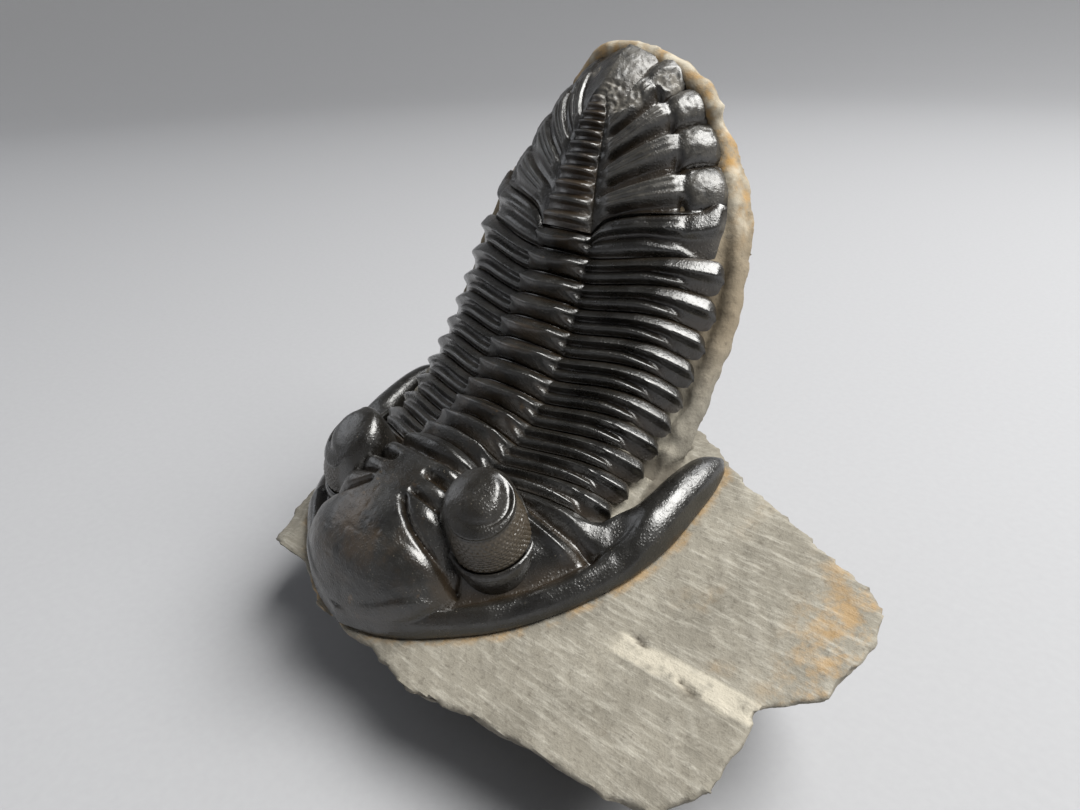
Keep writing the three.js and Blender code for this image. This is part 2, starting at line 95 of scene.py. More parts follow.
def curve(pairs: list[tuple[float, float]], at: np.ndarray | float) -> np.ndarray:
    """Reads a list of (position, value) pairs on a smooth line that does not overshoot.

    Args:
        pairs: Positions in rising order, each with its value.
        at: Where to read.

    Returns:
        The values, on a monotone cubic between the pairs.
    """
    x, y = (np.array(column, float) for column in zip(*pairs))
    step = np.diff(x)
    slope = np.diff(y) / step
    tangent = np.zeros_like(y)
    same = slope[:-1] * slope[1:] > 0
    weight = 2 * step[1:] + step[:-1], step[1:] + 2 * step[:-1]
    safe = np.where(same, slope[:-1], 1), np.where(same, slope[1:], 1)
    tangent[1:-1] = np.where(same, (weight[0] + weight[1]) / (weight[0] / safe[0] + weight[1] / safe[1]), 0)
    tangent[0], tangent[-1] = slope[0], slope[-1]
    q = np.clip(np.asarray(at, float), x[0], x[-1])
    i = np.clip(np.searchsorted(x, q, side="right") - 1, 0, len(x) - 2)
    t = (q - x[i]) / step[i]
    start = (1 + 2 * t) * (1 - t) ** 2 * y[i] + t * (1 - t) ** 2 * step[i] * tangent[i]
    end = t * t * (3 - 2 * t) * y[i + 1] + t * t * (t - 1) * step[i] * tangent[i + 1]
    return start + end


def smoothstep(low: float, high: float, value: np.ndarray) -> np.ndarray:
    """Eases from 0 at low to 1 at high."""
    t = np.clip((value - low) / (high - low), 0, 1)
    return t * t * (3 - 2 * t)


def bump(value: np.ndarray, centre: np.ndarray | float, width: np.ndarray | float) -> np.ndarray:
    """A bell of height 1 round centre."""
    return np.exp(-(((value - centre) / width) ** 2))


def value_noise(points: np.ndarray, size: float, seed: int) -> np.ndarray:
    """Smooth random values in space.

    Args:
        points: Places in millimetres, shape (..., 3).
        size: Distance between random values, in millimetres.
        seed: Picks the pattern.

    Returns:
        Values from -1 to 1, shape (...).
    """
    place = points / size + 1000.37
    cell = np.floor(place).astype(np.int64)
    part = place - cell
    part = part * part * (3 - 2 * part)
    total = np.zeros(points.shape[:-1])
    for corner in range(8):
        offset = np.array([corner & 1, corner >> 1 & 1, corner >> 2 & 1])
        key = (cell + offset) * np.array([73856093, 19349663, 83492791])
        mixed = (key[..., 0] ^ key[..., 1] ^ key[..., 2] ^ (seed * 2654435761)) & 0xFFFFFFFF
        mixed = (mixed ^ (mixed >> 15)) * 2246822519 & 0xFFFFFFFF
        mixed = (mixed ^ (mixed >> 13)) * 3266489917 & 0xFFFFFFFF
        value = (mixed ^ (mixed >> 16)) / 0x7FFFFFFF - 1
        total += value * np.prod(np.where(offset, part, 1 - part), axis=-1)
    return total


def rough_noise(points: np.ndarray, size: float, seed: int, octaves: int = 3) -> np.ndarray:
    """Sums noise of halving size and height, from about -1 to 1."""
    total = sum(0.5**k * value_noise(points, size * 0.5**k, seed + k) for k in range(octaves))
    return total / (2 - 0.5 ** (octaves - 1))


@dataclass(frozen=True)
class Bell:
    """A rounded swelling or dip along one measure."""

    centre: float
    width: float
    height: float = 1.0

    def at(self, value: np.ndarray) -> np.ndarray:
        """Its height at the given values."""
        return self.height * bump(value, self.centre, self.width)


@dataclass(frozen=True)
class Ease:
    """A smooth change from 0 at start to its full height at end."""

    start: float
    end: float
    height: float = 1.0

    def at(self, value: np.ndarray) -> np.ndarray:
        """How far it has risen at the given values."""
        return self.height * smoothstep(self.start, self.end, value)


@dataclass(frozen=True)
class Grain:
    """Random unevenness, with the size and height of its lumps and the seed of its pattern."""

    size: float
    height: float
    seed: int
    octaves: int = 3

    def at(self, points: np.ndarray, shift: int = 0) -> np.ndarray:
        """Its height at places in millimetres, with the seed moved by shift."""
        return self.height * rough_noise(points, self.size, self.seed + shift, self.octaves)


def along_line(corners: tuple, fractions: np.ndarray) -> np.ndarray:
    """Reads a smooth line through corner points.

    Args:
        corners: Points of any number of coordinates.
        fractions: Fractions of the line's length.

    Returns:
        Points, with their coordinates on the last axis.
    """
    line = np.array(corners, float)
    steps = np.concatenate([[0], np.cumsum(np.linalg.norm(np.diff(line, axis=0), axis=1))])
    return np.stack([curve(list(zip(steps / steps[-1], column)), fractions) for column in line.T], -1)


def distance_to_line(corners: tuple, x: np.ndarray, t: np.ndarray) -> np.ndarray:
    """Measures how far places on the head lie from a line of straight stretches.

    Args:
        corners: The line's points (x, t).
        x: Distances from the midline.
        t: Distances back from the front border.

    Returns:
        Shortest distances in millimetres.
    """
    nearest = np.full(x.shape, math.inf)
    for (ax, at), (bx, bt) in zip(corners, corners[1:]):
        run = np.array([bx - ax, bt - at])
        f = np.clip(((x - ax) * run[0] + (t - at) * run[1]) / (run @ run), 0, 1)
        nearest = np.minimum(nearest, np.hypot(x - ax - f * run[0], t - at - f * run[1]))
    return nearest


@dataclass(frozen=True)
class Arc:
    """A stretch of the back with a length and a start and end slope in degrees."""

    length: float
    start: float
    end: float


@dataclass(frozen=True)
class Back:
    """The bent sheet that every plate of the thorax and tail is laid out on."""

    arcs: tuple[Arc, ...] = (Arc(12.4, 4, 44), Arc(21.4, 44, 68.5), Arc(26, 68.5, 60.8))
    axis_half_width: tuple = ((0, 6.2), (12.4, 5.9), (24.8, 5.1), (33.8, 3.9), (38.6, 3.0), (44, 2.25),
                              (48, 1.7), (50, 0.9))
    half_width: tuple = ((0, 19.7), (6, 20.0), (15, 20.4), (24.8, 20.6), (27.9, 20.4), (31, 19.8),
                         (33.8, 17.4))
    side_drop: tuple = ((0, 6.6), (6, 7.2), (15, 8), (31, 8.2), (38.4, 8.6))
    ring_height: tuple = ((0, 3.2), (20, 3.0), (33.8, 2.4), (44, 1.5), (50, 0.5))
    tip_sweep: tuple = ((0, 3.9), (1, 3.5), (2, 2.8), (3, 2.1), (4, 1.6), (6, 1.15), (8, 1.3), (9, 2.0),
                        (10, 3.0), (11, 6.9))
    sweep_power: float = 1.5
    bow_height: float = 1.05
    bow_skew: float = 1.35
    end_turn: float = math.radians(80)
    bow_size: tuple = ((0, 0.55), (3, 0.7), (4, 0.9), (5, 1.0), (9, 1.0), (10, 0.6))
    last_joint: tuple = ((0, 0.3), (0.12, 2.0), (0.39, 3.4), (0.62, 4.1), (0.78, 4.7), (0.9, 5.4), (1, 6.9))
    last_joint_start: Ease = Ease(0, 0.03)
    roundness: float = 2.2
    lean_power: float = 1.6
    fall_power: float = 0.70
    fall_scale: float = 0.87

    def place(self, x: np.ndarray, s: np.ndarray, h: np.ndarray) -> np.ndarray:
        """Turns sheet coordinates into places.

        Args:
            x: Distance from the midline.
            s: Distance behind the head along the midline.
            h: Height above the level of the axial furrows.

        Returns:
            Places in millimetres, shape (..., 3).
        """
        x, s, h = np.broadcast_arrays(np.asarray(x, float), np.asarray(s, float), np.asarray(h, float))
        y, z, slope = np.zeros_like(s), np.zeros_like(s), np.zeros_like(s)
        begin, base_y, base_z = 0.0, 0.0, 0.0
        for i, arc in enumerate(self.arcs):
            first, last = math.radians(arc.start), math.radians(arc.end)
            bend = (last - first) / arc.length
            low = -math.inf if i == 0 else begin
            high = math.inf if i == len(self.arcs) - 1 else begin + arc.length
            here = (s >= low) & (s < high)
            angle = first + bend * (s - begin)
            slope = np.where(here, angle, slope)
            y = np.where(here, base_y + (np.sin(angle) - math.sin(first)) / bend, y)
            z = np.where(here, base_z - (np.cos(angle) - math.cos(first)) / bend, z)
            base_y += (math.sin(last) - math.sin(first)) / bend
            base_z -= (math.cos(last) - math.cos(first)) / bend
            begin += arc.length
        return np.stack([x, y - np.sin(slope) * h, z + np.cos(slope) * h], axis=-1)

    def sweep(self, joint: float, x: np.ndarray, s: float) -> np.ndarray:
        """How far a joint line lies behind its place on the axis.

        Args:
            joint: Number of the joint, 0 behind the head.
            x: Distances from the midline.
            s: Where the joint crosses the midline.

        Returns:
            Distances in millimetres.
        """
        axis = table(self.axis_half_width, s)
        out = np.clip((np.abs(x) - axis) / (table(self.half_width, s) - axis), 0, 1)
        if joint == SEGMENTS:
            return curve(self.last_joint, out) * self.last_joint_start.at(out)
        bow = self.bow_height * np.sin(np.pi * out**self.bow_skew) * table(self.bow_size, joint)
        return table(self.tip_sweep, joint) * out**self.sweep_power + bow

    def side_curve(self, turn: np.ndarray) -> tuple[np.ndarray, np.ndarray, np.ndarray]:
        """The rounded fall of a side lobe.

        Args:
            turn: Radians round the lobe's section, 0 at the axial furrow and a quarter turn at its edge.

        Returns:
            Fraction of the way out, fraction of the way down, and the surface's lean outward.
        """
        lean = np.arctan2(np.sin(turn) ** self.lean_power, np.cos(turn))
        out = np.sin(turn) ** (2 / self.roundness)
        return out, self.fall(out), lean

    def fall(self, out: np.ndarray) -> np.ndarray:
        """Fraction of the side drop at fraction out across a side lobe."""
        level = np.clip(1 - out**self.roundness, 0, 1) ** self.fall_power
        return self.fall_scale * (1 - level)


BACK = Back()


@dataclass(frozen=True)
class HeadPlane:
    """The flat margin of the head, and the sag of its far side."""

    front: tuple[float, float, float] = (0.0, -17.9, -13.2)
    tilt: float = math.radians(18)
    droop_from: float = -17.0
    droop_slope: float = 0.35

    def place(self, x: np.ndarray, t: np.ndarray, n: np.ndarray) -> np.ndarray:
        """Turns head coordinates into places.

        Args:
            x: Distance from the midline.
            t: Distance back from the front border, along the margin plane.
            n: Height above the margin plane.

        Returns:
            Places in millimetres, shape (..., 3).
        """
        x, t, n = np.broadcast_arrays(np.asarray(x, float), np.asarray(t, float), np.asarray(n, float))
        n = n + self.droop_slope * np.minimum(0, x - self.droop_from)
        y = self.front[1] + t * math.cos(self.tilt) - n * math.sin(self.tilt)
        z = self.front[2] + t * math.sin(self.tilt) + n * math.cos(self.tilt)
        return np.stack([x, y, z], axis=-1)

    def locate(self, points: np.ndarray) -> np.ndarray:
        """Turns places back into head coordinates, leaving out the sag.

        Args:
            points: Places in millimetres, shape (..., 3).

        Returns:
            Head coordinates (x, t, n), shape (..., 3).
        """
        y = points[..., 1] - self.front[1]
        z = points[..., 2] - self.front[2]
        t = y * math.cos(self.tilt) + z * math.sin(self.tilt)
        n = -y * math.sin(self.tilt) + z * math.cos(self.tilt)
        return np.stack([points[..., 0], t, n], axis=-1)


HEAD_PLANE = HeadPlane()


@dataclass
class Piece:
    """One visible mesh: points in millimetres with faces, and the values stored on its points."""

    name: str
    points: np.ndarray
    faces: list
    values: dict[str, np.ndarray]

    def make(self, slot: Slot, material: bpy.types.Material, nodes: tuple[str, ...]) -> bpy.types.Object:
        """Makes the Blender object and ties it to the frame.

        Args:
            slot: The record's material slot. It is not used.
            material: The finish.
            nodes: CAD nodes that it stands for.

        Returns:
            The object.
        """
        mesh = bpy.data.meshes.new(self.name)
        mesh.from_pydata(((self.points - PART_ORIGIN) * MM).tolist(), [], self.faces)
        mesh.validate()
        mesh.update()
        for key, value in self.values.items():
            layer = mesh.attributes.new(key, "FLOAT", "POINT")
            layer.data.foreach_set("value", np.asarray(value, np.float32).ravel())
        mesh.polygons.foreach_set("use_smooth", np.ones(len(mesh.polygons), bool))
        mesh.set_sharp_from_angle(angle=SHARP_ANGLE)
        mesh.materials.append(material)
        thing = bpy.data.objects.new(self.name, mesh)
        bpy.context.scene.collection.objects.link(thing)
        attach(thing, "root")
        if nodes:
            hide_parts(*nodes)
        return thing


def closed_sheet(name: str, upper: np.ndarray, lower: np.ndarray, values: dict[str, np.ndarray],
                 first_wall: bool = True) -> Piece:
    """Closes the space between an upper grid and a coarser lower grid of the same number of rows.

    Args:
        name: The piece's name.
        upper: Points, shape (rows, columns, 3).
        lower: Points, shape (rows, lower columns, 3).
        values: Numbers on the upper points, shape (rows, columns); 0 on the lower ones.
        first_wall: Whether the first column gets a wall, as the last column and both ends do.

    Returns:
        The piece, with points that coincide joined into one and its faces outward.
    """
    rows, columns = upper.shape[:2]
    under = lower.shape[1]
    top = np.arange(rows * columns).reshape(rows, columns)
    low = rows * columns + np.arange(rows * under).reshape(rows, under)
    quads = [np.stack([top[:-1, :-1], top[1:, :-1], top[1:, 1:], top[:-1, 1:]], -1).reshape(-1, 4),
             np.stack([low[:-1, :-1], low[:-1, 1:], low[1:, 1:], low[1:, :-1]], -1).reshape(-1, 4)]
    if first_wall:
        quads.append(np.stack([top[:-1, 0], low[:-1, 0], low[1:, 0], top[1:, 0]], -1))
    quads.append(np.stack([top[:-1, -1], top[1:, -1], low[1:, -1], low[:-1, -1]], -1))
    points = np.concatenate([upper.reshape(-1, 3), lower.reshape(-1, 3)])
    _, first, same = np.unique(np.round(points * SAME_POINTS_PER_MM).astype(np.int64), axis=0,
                               return_index=True, return_inverse=True)
    same = same.ravel()
    faces = same[np.concatenate(quads)].tolist()
    faces.append(same[np.concatenate([top[0], low[0][::-1]])].tolist())
    faces.append(same[np.concatenate([low[-1], top[-1][::-1]])].tolist())
    cleaned = []
    for face in faces:
        ring = [v for i, v in enumerate(face) if v != face[i - 1]]
        if len(set(ring)) > 2:
            cleaned.append(ring)
    merged = points[first]
    a, b, c = (merged[[f[k] for f in cleaned]] for k in (0, 1, 2))
    if np.einsum("ij,ij->i", a, np.cross(b, c)).sum() < 0:
        cleaned = [face[::-1] for face in cleaned]
    stored = {}
    for key, value in values.items():
        every = np.concatenate([value.ravel(), np.zeros(low.size)])
        stored[key] = every[first]
    return Piece(name, merged, cleaned, stored)


@dataclass(frozen=True)
class ThoracicPlate:
    """One thoracic plate: an arched axial ring and a rounded side lobe on each side.

    Values across it run from 0 at the midline or the axial furrow to 1 at the edge of the ring or
    the side lobe. Values along it run from 0 at its front edge to 1 at its rear edge.
    """

    number: int
    side_columns: int = 130
    ring_columns: int = 40
    rows: int = 30
    even_rows: float = 0.45
    last_inset: float = 0.4
    under: float = PLATE_THICKNESS + 0.55
    ring_base: float = -1.30
    ring_band: float = 1.65
    ring_crest: float = 0.56
    crest_flank: Bell = Bell(0.72, 0.22, 0.09)
    crest_middle: Bell = Bell(0, 0.3, 0.05)
    ring_rise_power: float = 0.9
    ring_fall: float = 0.62
    ring_fall_power: float = 1.18
    ring_end: Ease = Ease(0.90, 0.98, 0.32)
    ring_line: Bell = Bell(0.93, 0.03, -0.20)
    ring_lobe: Bell = Bell(0.68, 0.26, 0.40)
    ring_lobe_base: float = 0.10
    ring_lobe_length: float = 0.26
    knob: Bell = Bell(0.95, 0.06, 0.30)
    knob_behind: float = 0.02
    knob_length: float = 0.14
    arch_power: float = 0.75
    arch_lean: float = 0.6
    lobe_base: float = -0.05
    inner_share: float = 0.7
    inner_rise: Ease = Ease(0.05, 0.35, 0.3)
    furrow_depth: float = 0.50
    furrow_at: float = 0.50
    furrow_bend: Ease = Ease(0.45, 0.72, 0.10)
    furrow_hook: Ease = Ease(0.72, 0.90, 0.18)
    furrow_width: float = 0.105
    furrow_power: float = 2.2
    posterior_band: float = 0.56
    posterior_crest: float = 0.68
    posterior_shift: float = 0.07
    posterior_rise: float = 0.14
    posterior_rise_gain: float = 0.12
    posterior_fall: float = 1.75
    posterior_fall_power: float = 1.2
    anterior_band: float = 0.40
    anterior_ahead: float = 0.26
    anterior_length: float = 0.15
    anterior_taper: Ease = Ease(0.45, 0.8, 0.06)
    anterior_power: float = 2.4
    anterior_end: Ease = Ease(0.70, 0.86)
    facet: Ease = Ease(0.58, 0.84)
    facet_depth: float = 0.80
    facet_length: float = 0.62
    facet_power: float = 1.25
    front_edge: Bell = Bell(0, 0.09, 0.42)
    rear_edge: Bell = Bell(1, 0.04, 0.20)
    last_facet_share: float = 0.45
    last_anterior_end: Ease = Ease(0.80, 0.96)
    last_split: Bell = Bell(0.80, 0.045, 0.22)
    last_split_from: Ease = Ease(0.15, 0.3)
    last_split_to: Ease = Ease(0.66, 0.72)
    last_notch: Bell = Bell(0.75, 0.04, 0.24)
    last_notch_from: Ease = Ease(0.45, 0.65)
    last_tip_share: float = 0.35
    tip_from: float = math.radians(65)
    tip_front_cut: float = 0.36
    tip_rear_cut: float = 0.56
    tip_flatness: float = 0.75
    tip_sink: float = 0.25
    grain: Grain = Grain(0.9, 0.035, 11)
    waves: Grain = Grain(3.1, 0.05, 40)
    brown_share: float = 0.8
    brown_from: Ease = Ease(0.0, 0.25)
    brown_to: Ease = Ease(0.45, 0.68)
    dust: Ease = Ease(-0.015, 0.020, 0.45)

    def is_last(self) -> bool:
        """Whether the tail follows this plate."""
        return self.number == SEGMENTS

    def front(self) -> float:
        """Where the plate starts on the midline."""
        return PITCH * (self.number - 1)

    def back(self) -> float:
        """Where the plate ends on the midline."""
        return THORAX_END if self.is_last() else self.front() + PITCH

    def ring_relief(self, f: np.ndarray, across: np.ndarray) -> np.ndarray:
        """Height of the ring over its arch, at fraction f back and fraction across from the midline.

        Args:
            f: Fractions of the way back.
            across: Fractions of the way out from the midline.

        Returns:
            Heights in millimetres.
        """
        crest = self.ring_crest + self.crest_flank.at(across) - self.crest_middle.at(across)
        rise = np.sin(np.clip(f / crest, 0, 1) * math.pi / 2) ** self.ring_rise_power
        behind = np.clip((f - crest) / (self.ring_line.centre - crest), 0, 1)
        fall = 1 - self.ring_fall * behind**self.ring_fall_power - self.ring_end.at(f)
        band = self.ring_band * np.where(f < crest, rise, fall)
        lobes = (self.ring_lobe_base + self.ring_lobe.at(across)) * bump(f, crest, self.ring_lobe_length)
        knob = self.knob.at(across) * bump(f, crest + self.knob_behind, self.knob_length)
        return self.ring_base + band + lobes + knob + self.ring_line.at(f)

    def pleura_relief(self, f: np.ndarray, out: np.ndarray) -> np.ndarray:
        """Height of the side lobe over its vault, at fraction f back and fraction out across.

        Args:
            f: Fractions of the way back.
            out: Fractions of the way out from the axial furrow.

        Returns:
            Heights in millimetres.
        """
        line = self.furrow_at - self.furrow_bend.at(out) - self.furrow_hook.at(out)
        far = self.facet.at(out)
        dip = np.exp(-np.abs((f - line) / self.furrow_width) ** self.furrow_power)
        furrow = -self.furrow_depth * (1 - far) * dip
        crest = self.posterior_crest - self.posterior_shift * far
        ahead = np.clip((crest - f) / (self.posterior_rise + self.posterior_rise_gain * far), 0, 1)
        behind = np.clip((f - crest) / (1 - crest), 0, 1) ** self.posterior_fall_power
        rear = self.posterior_band * (0.5 + 0.5 * np.cos(math.pi * ahead) - self.posterior_fall * behind)
        length = self.anterior_length - self.anterior_taper.at(out)
        swell = np.exp(-np.abs((f - line + self.anterior_ahead) / length) ** self.anterior_power)
        anterior_end = self.last_anterior_end if self.is_last() else self.anterior_end
        front = self.anterior_band * swell * (1 - anterior_end.at(out))
        depth = self.facet_depth * (self.last_facet_share if self.is_last() else 1)
        facet = -depth * far * np.clip(1 - f / self.facet_length, 0, 1) ** self.facet_power
        edges = -self.front_edge.at(f) * (1 - far) - self.rear_edge.at(f)
        near = self.inner_share + self.inner_rise.at(out)
        relief = self.lobe_base + (furrow + rear + front) * near + facet + edges
        if self.is_last():
            split = self.last_split.at(f) * self.last_split_from.at(out) * (1 - self.last_split_to.at(out))
            relief = relief - split - self.last_notch.at(out) * self.last_notch_from.at(f)
        return relief

    def build(self) -> Piece:
        """Lays the plate out on the bent back.

        Returns:
            The closed plate.
        """
        ring = np.linspace(-1, 1, self.ring_columns // COARSE * 2 + 1)
        turn = np.linspace(0, BACK.end_turn, self.side_columns // COARSE + 1)[1:]
        middle = (self.front() + self.back()) / 2
        axis = table(BACK.axis_half_width, middle)
        width = table(BACK.half_width, middle) - (self.last_inset if self.is_last() else 0)
        drop = table(BACK.side_drop, middle)
        arch = table(BACK.ring_height, middle) * np.cos(ring * math.pi / 2) ** self.arch_power
        out, down, lean = BACK.side_curve(turn)

        def across_plate(side: np.ndarray, centre: np.ndarray, mirrored: int = 1) -> np.ndarray:
            """Values from the right tip over the ring to the left tip; -1 turns their sign on the right."""
            return np.concatenate([mirrored * side[::-1], centre, side])

        x = across_plate(axis + (width - axis) * out, ring * axis, -1)
        h = across_plate(-drop * down, arch)
        leans = across_plate(lean, ring * self.arch_lean * (1 - np.abs(ring) ** 8), -1)
        on_ring = across_plate(0 * out, 1 - np.abs(ring) ** 6)[:, None]
        across = across_plate(0 * out + 1, np.abs(ring))[:, None]
        outward = across_plate(out, 0 * ring)[:, None]
        turns = across_plate(turn, 0 * ring)
        begin = self.front() + BACK.sweep(self.number - 1, x, self.front()) + JOINT_GAP / 2
        end = self.back() + BACK.sweep(self.number, x, self.back()) - JOINT_GAP / 2
        tip_length = min(np.mean(end[-3:] - begin[-3:]), PITCH)
        if self.is_last():
            tip_length *= self.last_tip_share
        beyond = np.clip((turns - self.tip_from) / (BACK.end_turn - self.tip_from), 0, 1)
        cut = tip_length * (1 - np.sqrt(1 - beyond**2))
        begin, end = begin + self.tip_front_cut * cut, end - self.tip_rear_cut * cut
        even = np.linspace(0, 1, self.rows // COARSE + 1)
        f = (1 - self.even_rows) * (0.5 - 0.5 * np.cos(even * math.pi)) + self.even_rows * even
        f = f * np.ones((len(x), 1))
        nose = smoothstep(self.tip_from, BACK.end_turn, turns)[:, None]
        side_relief = self.pleura_relief(f, outward) * (1 - self.tip_flatness * nose) - self.tip_sink * nose
        relief = on_ring * self.ring_relief(f, across) + (1 - on_ring) * side_relief
        s = begin[:, None] + f * (end - begin)[:, None]

        def surface(distance: np.ndarray) -> np.ndarray:
            """Places at a distance above the bare vault."""
            return BACK.place(x[:, None] + np.sin(leans)[:, None] * distance, s,
                              h[:, None] + np.cos(leans)[:, None] * distance)

        smooth = surface(relief)
        waves = self.waves.at(smooth)
        upper = surface(relief + self.grain.at(smooth, self.number) + waves)
        under = surface(np.full_like(f, -self.under))[:, [0, -1]]
        brown = self.brown_share * on_ring * self.brown_from.at(f) * (1 - self.brown_to.at(f))
        dust = nose * self.dust.at(waves)
        values = {"relief": np.clip(relief, *RELIEF_RANGE), "bulb": brown, "worn": dust}
        return closed_sheet(f"thoracic_segment_{self.number:02d}_surface", upper, under, values)


@dataclass(frozen=True)
class Pygidium:
    """Tail plate: a tapering ringed axis, four two-banded ribs with border pads a side and an end lobe.

    It is laid out on joint lines that run out from the axis. Line 0 is the joint with the thorax,
    lines 1 to 4 part the ribs, and line 4.5 is the midline behind the axis.
    """

    axis_line: tuple = ((0, 33.8), (1, 38.2), (2, 41.2), (3, 44.3), (4, 47.6), (4.5, 50.4))
    margin_x: tuple = ((0, 17.2), (1, 14.7), (2, 12.0), (3, 8.4), (4, 4.1), (4.5, 0))
    margin_s: tuple = ((0, 40.7), (1, 45.5), (2, 50.4), (3, 54.4), (4, 57.2), (4.5, 57.8))
    drop: tuple = ((0, 8.0), (1, 7.8), (2, 7.2), (3, 6.2), (4, 4.6), (4.5, 3.4))
    bend_x: tuple = ((0, 0.55), (1, 0.52), (2, 0.52), (3, 0.66), (4, 0.72), (4.5, 0.72))
    bend_s: tuple = ((0, 0.45), (1, 0.44), (2, 0.47), (3, 0.34), (4, 0.25), (4.5, 0.25))
    ring_places: tuple = (33.9, 36.0, 38.0, 39.9, 41.6, 43.2, 44.7, 46.1, 47.3, 48.4, 49.4, 50.4)
    end: float = 4.5
    rows: int = 300
    side_columns: int = 104
    ring_columns: int = 22
    under_columns: int = 8
    under: float = PLATE_THICKNESS + 0.4
    rib_height: float = 1.35
    rib_level: float = 0.60
    rib_rise: Ease = Ease(0.14, 0.50)
    rib_fall: Ease = Ease(0.82, 1.0)
    rib_fall_power: float = 1.3
    rib_start: Ease = Ease(0.0, 0.15)
    first_rib: Ease = Ease(0.0, 0.10)
    last_rib: Ease = Ease(3.85, 4.05)
    far_side: float = 0.22
    far_rib_share: float = 0.3
    grooves: tuple[Bell, Bell] = (Bell(0.56, 0.045, 0.17), Bell(0.74, 0.04, 0.119))
    groove_from: Ease = Ease(0.12, 0.25)
    groove_to: Ease = Ease(0.66, 0.74)
    border_furrow: Bell = Bell(0.755, 0.042, 0.46)
    pad_from: Ease = Ease(0.75, 0.80)
    pad_level: float = 0.95
    pad_rise: Ease = Ease(0.77, 0.92, 0.26)
    end_level: float = 0.35
    end_rise: Ease = Ease(4.0, 4.4, 0.5)
    end_pad_share: float = 0.08
    lobe_depth: float = 0.75
    lobe_radius: float = 20.0
    rear_lobes: Ease = Ease(2, 4, 0.6)
    ring_height: float = 1.05
    ring_level: float = 0.75
    ring_crest: float = 0.62
    ring_length: float = 0.24
    ring_power: float = 2.8
    ring_fade: Ease = Ease(46, 50, 0.65)
    axis_close: float = 0.02
    joint_fade_power: float = 1.3
    margin_round: Ease = Ease(0.97, 1.0, 0.75)
    worn_patches: tuple = ((1.2, 50.9, 2.0, 1.0), (2.9, 49.6, 1.5, 1.0), (4.6, 50.6, 1.2, 1.0),
                           (6.6, 53.9, 1.6, 1.0), (-2.9, 54.0, 1.0, 0.8), (1.8, 54.8, 3.4, 0.42))
    worn_core: float = 0.55
    worn_rim: float = 1.05
    worn_edge: Grain = Grain(1.6, 0.9, 77)
    worn_ring_loss: float = 0.5
    worn_rib_loss: float = 0.45
    grain: Grain = Grain(0.9, 0.035, 31)
    waves: Grain = Grain(2.9, 0.06, 33)
    pits: Grain = Grain(0.46, 0.24, 35, 1)
    deep_pits: Grain = Grain(0.95, 0.36, 36, 1)
    pit_base: float = 0.05
    pad_grain: Grain = Grain(0.5, 0.07, 38, 1)
    pad_grain_from: Ease = Ease(0.79, 0.84)
    brown_share: float = 0.7
    ring_brownness: float = 0.1
    dull_from: float = 0.05
    dull_most: float = 0.3

    def rib_relief(self, k: np.ndarray, out: np.ndarray, strength: float) -> np.ndarray:
        """Height of the ribs and the border pads over the vault.

        Args:
            k: Joint line numbers.
            out: Fractions of the way out.
            strength: 1 for full relief, less for the smoother side.

        Returns:
            Heights in millimetres.
        """
        part = k - np.floor(k)
        arch = np.sin(np.pi * part) ** 0.5
        ridge = self.rib_rise.at(part) * (1 - self.rib_fall.at(part) ** self.rib_fall_power)
        ridge = ridge + (self.pad_level * arch - ridge) * self.pad_from.at(out)
        first = self.first_rib.at(k)
        last = 1 - self.last_rib.at(k)
        ridge = ridge * last + (1 - last) * (self.end_level + self.end_rise.at(k))
        share = self.far_rib_share + (1 - self.far_rib_share) * strength
        rib = self.rib_height * (ridge - self.rib_level) * self.rib_start.at(out) * first * share
        inner = self.groove_from.at(out) * (1 - self.groove_to.at(out))
        cuts = sum(groove.at(part) for groove in self.grooves) * inner * last
        pad = self.pad_rise.at(out) * arch - self.border_furrow.at(out)
        return rib - cuts + pad * first * (self.end_pad_share + (1 - self.end_pad_share) * last) * strength

    def ring_relief(self, s: np.ndarray) -> np.ndarray:
        """Height of the narrow axial rings over the axis.

        Args:
            s: Distances behind the head.

        Returns:
            Heights in millimetres.
        """
        index = np.interp(s, self.ring_places, np.arange(len(self.ring_places)))
        offset = index - np.floor(index) - self.ring_crest
        crest = self.ring_height * np.exp(-np.abs(offset / self.ring_length) ** self.ring_power)
        return (crest - self.ring_level) * (1 - self.ring_fade.at(s))

    def wear(self, x: np.ndarray, s: np.ndarray, places: np.ndarray) -> np.ndarray:
        """How much wear the surface shows.

        Args:
            x: Distances from the midline, positive on the animal's left.
            s: Distances behind the head.
            places: The same points in space.

        Returns:
            Values from 0 to 1.
        """
        worn = np.zeros(x.shape)
        edge = self.worn_edge.at(places)
        for patch_x, patch_s, radius, share in self.worn_patches:
            reach = np.hypot(x - patch_x, s - patch_s) + edge
            patch = 1 - smoothstep(radius * self.worn_core, radius * self.worn_rim, reach)
            worn = np.maximum(worn, share * patch)
        return worn

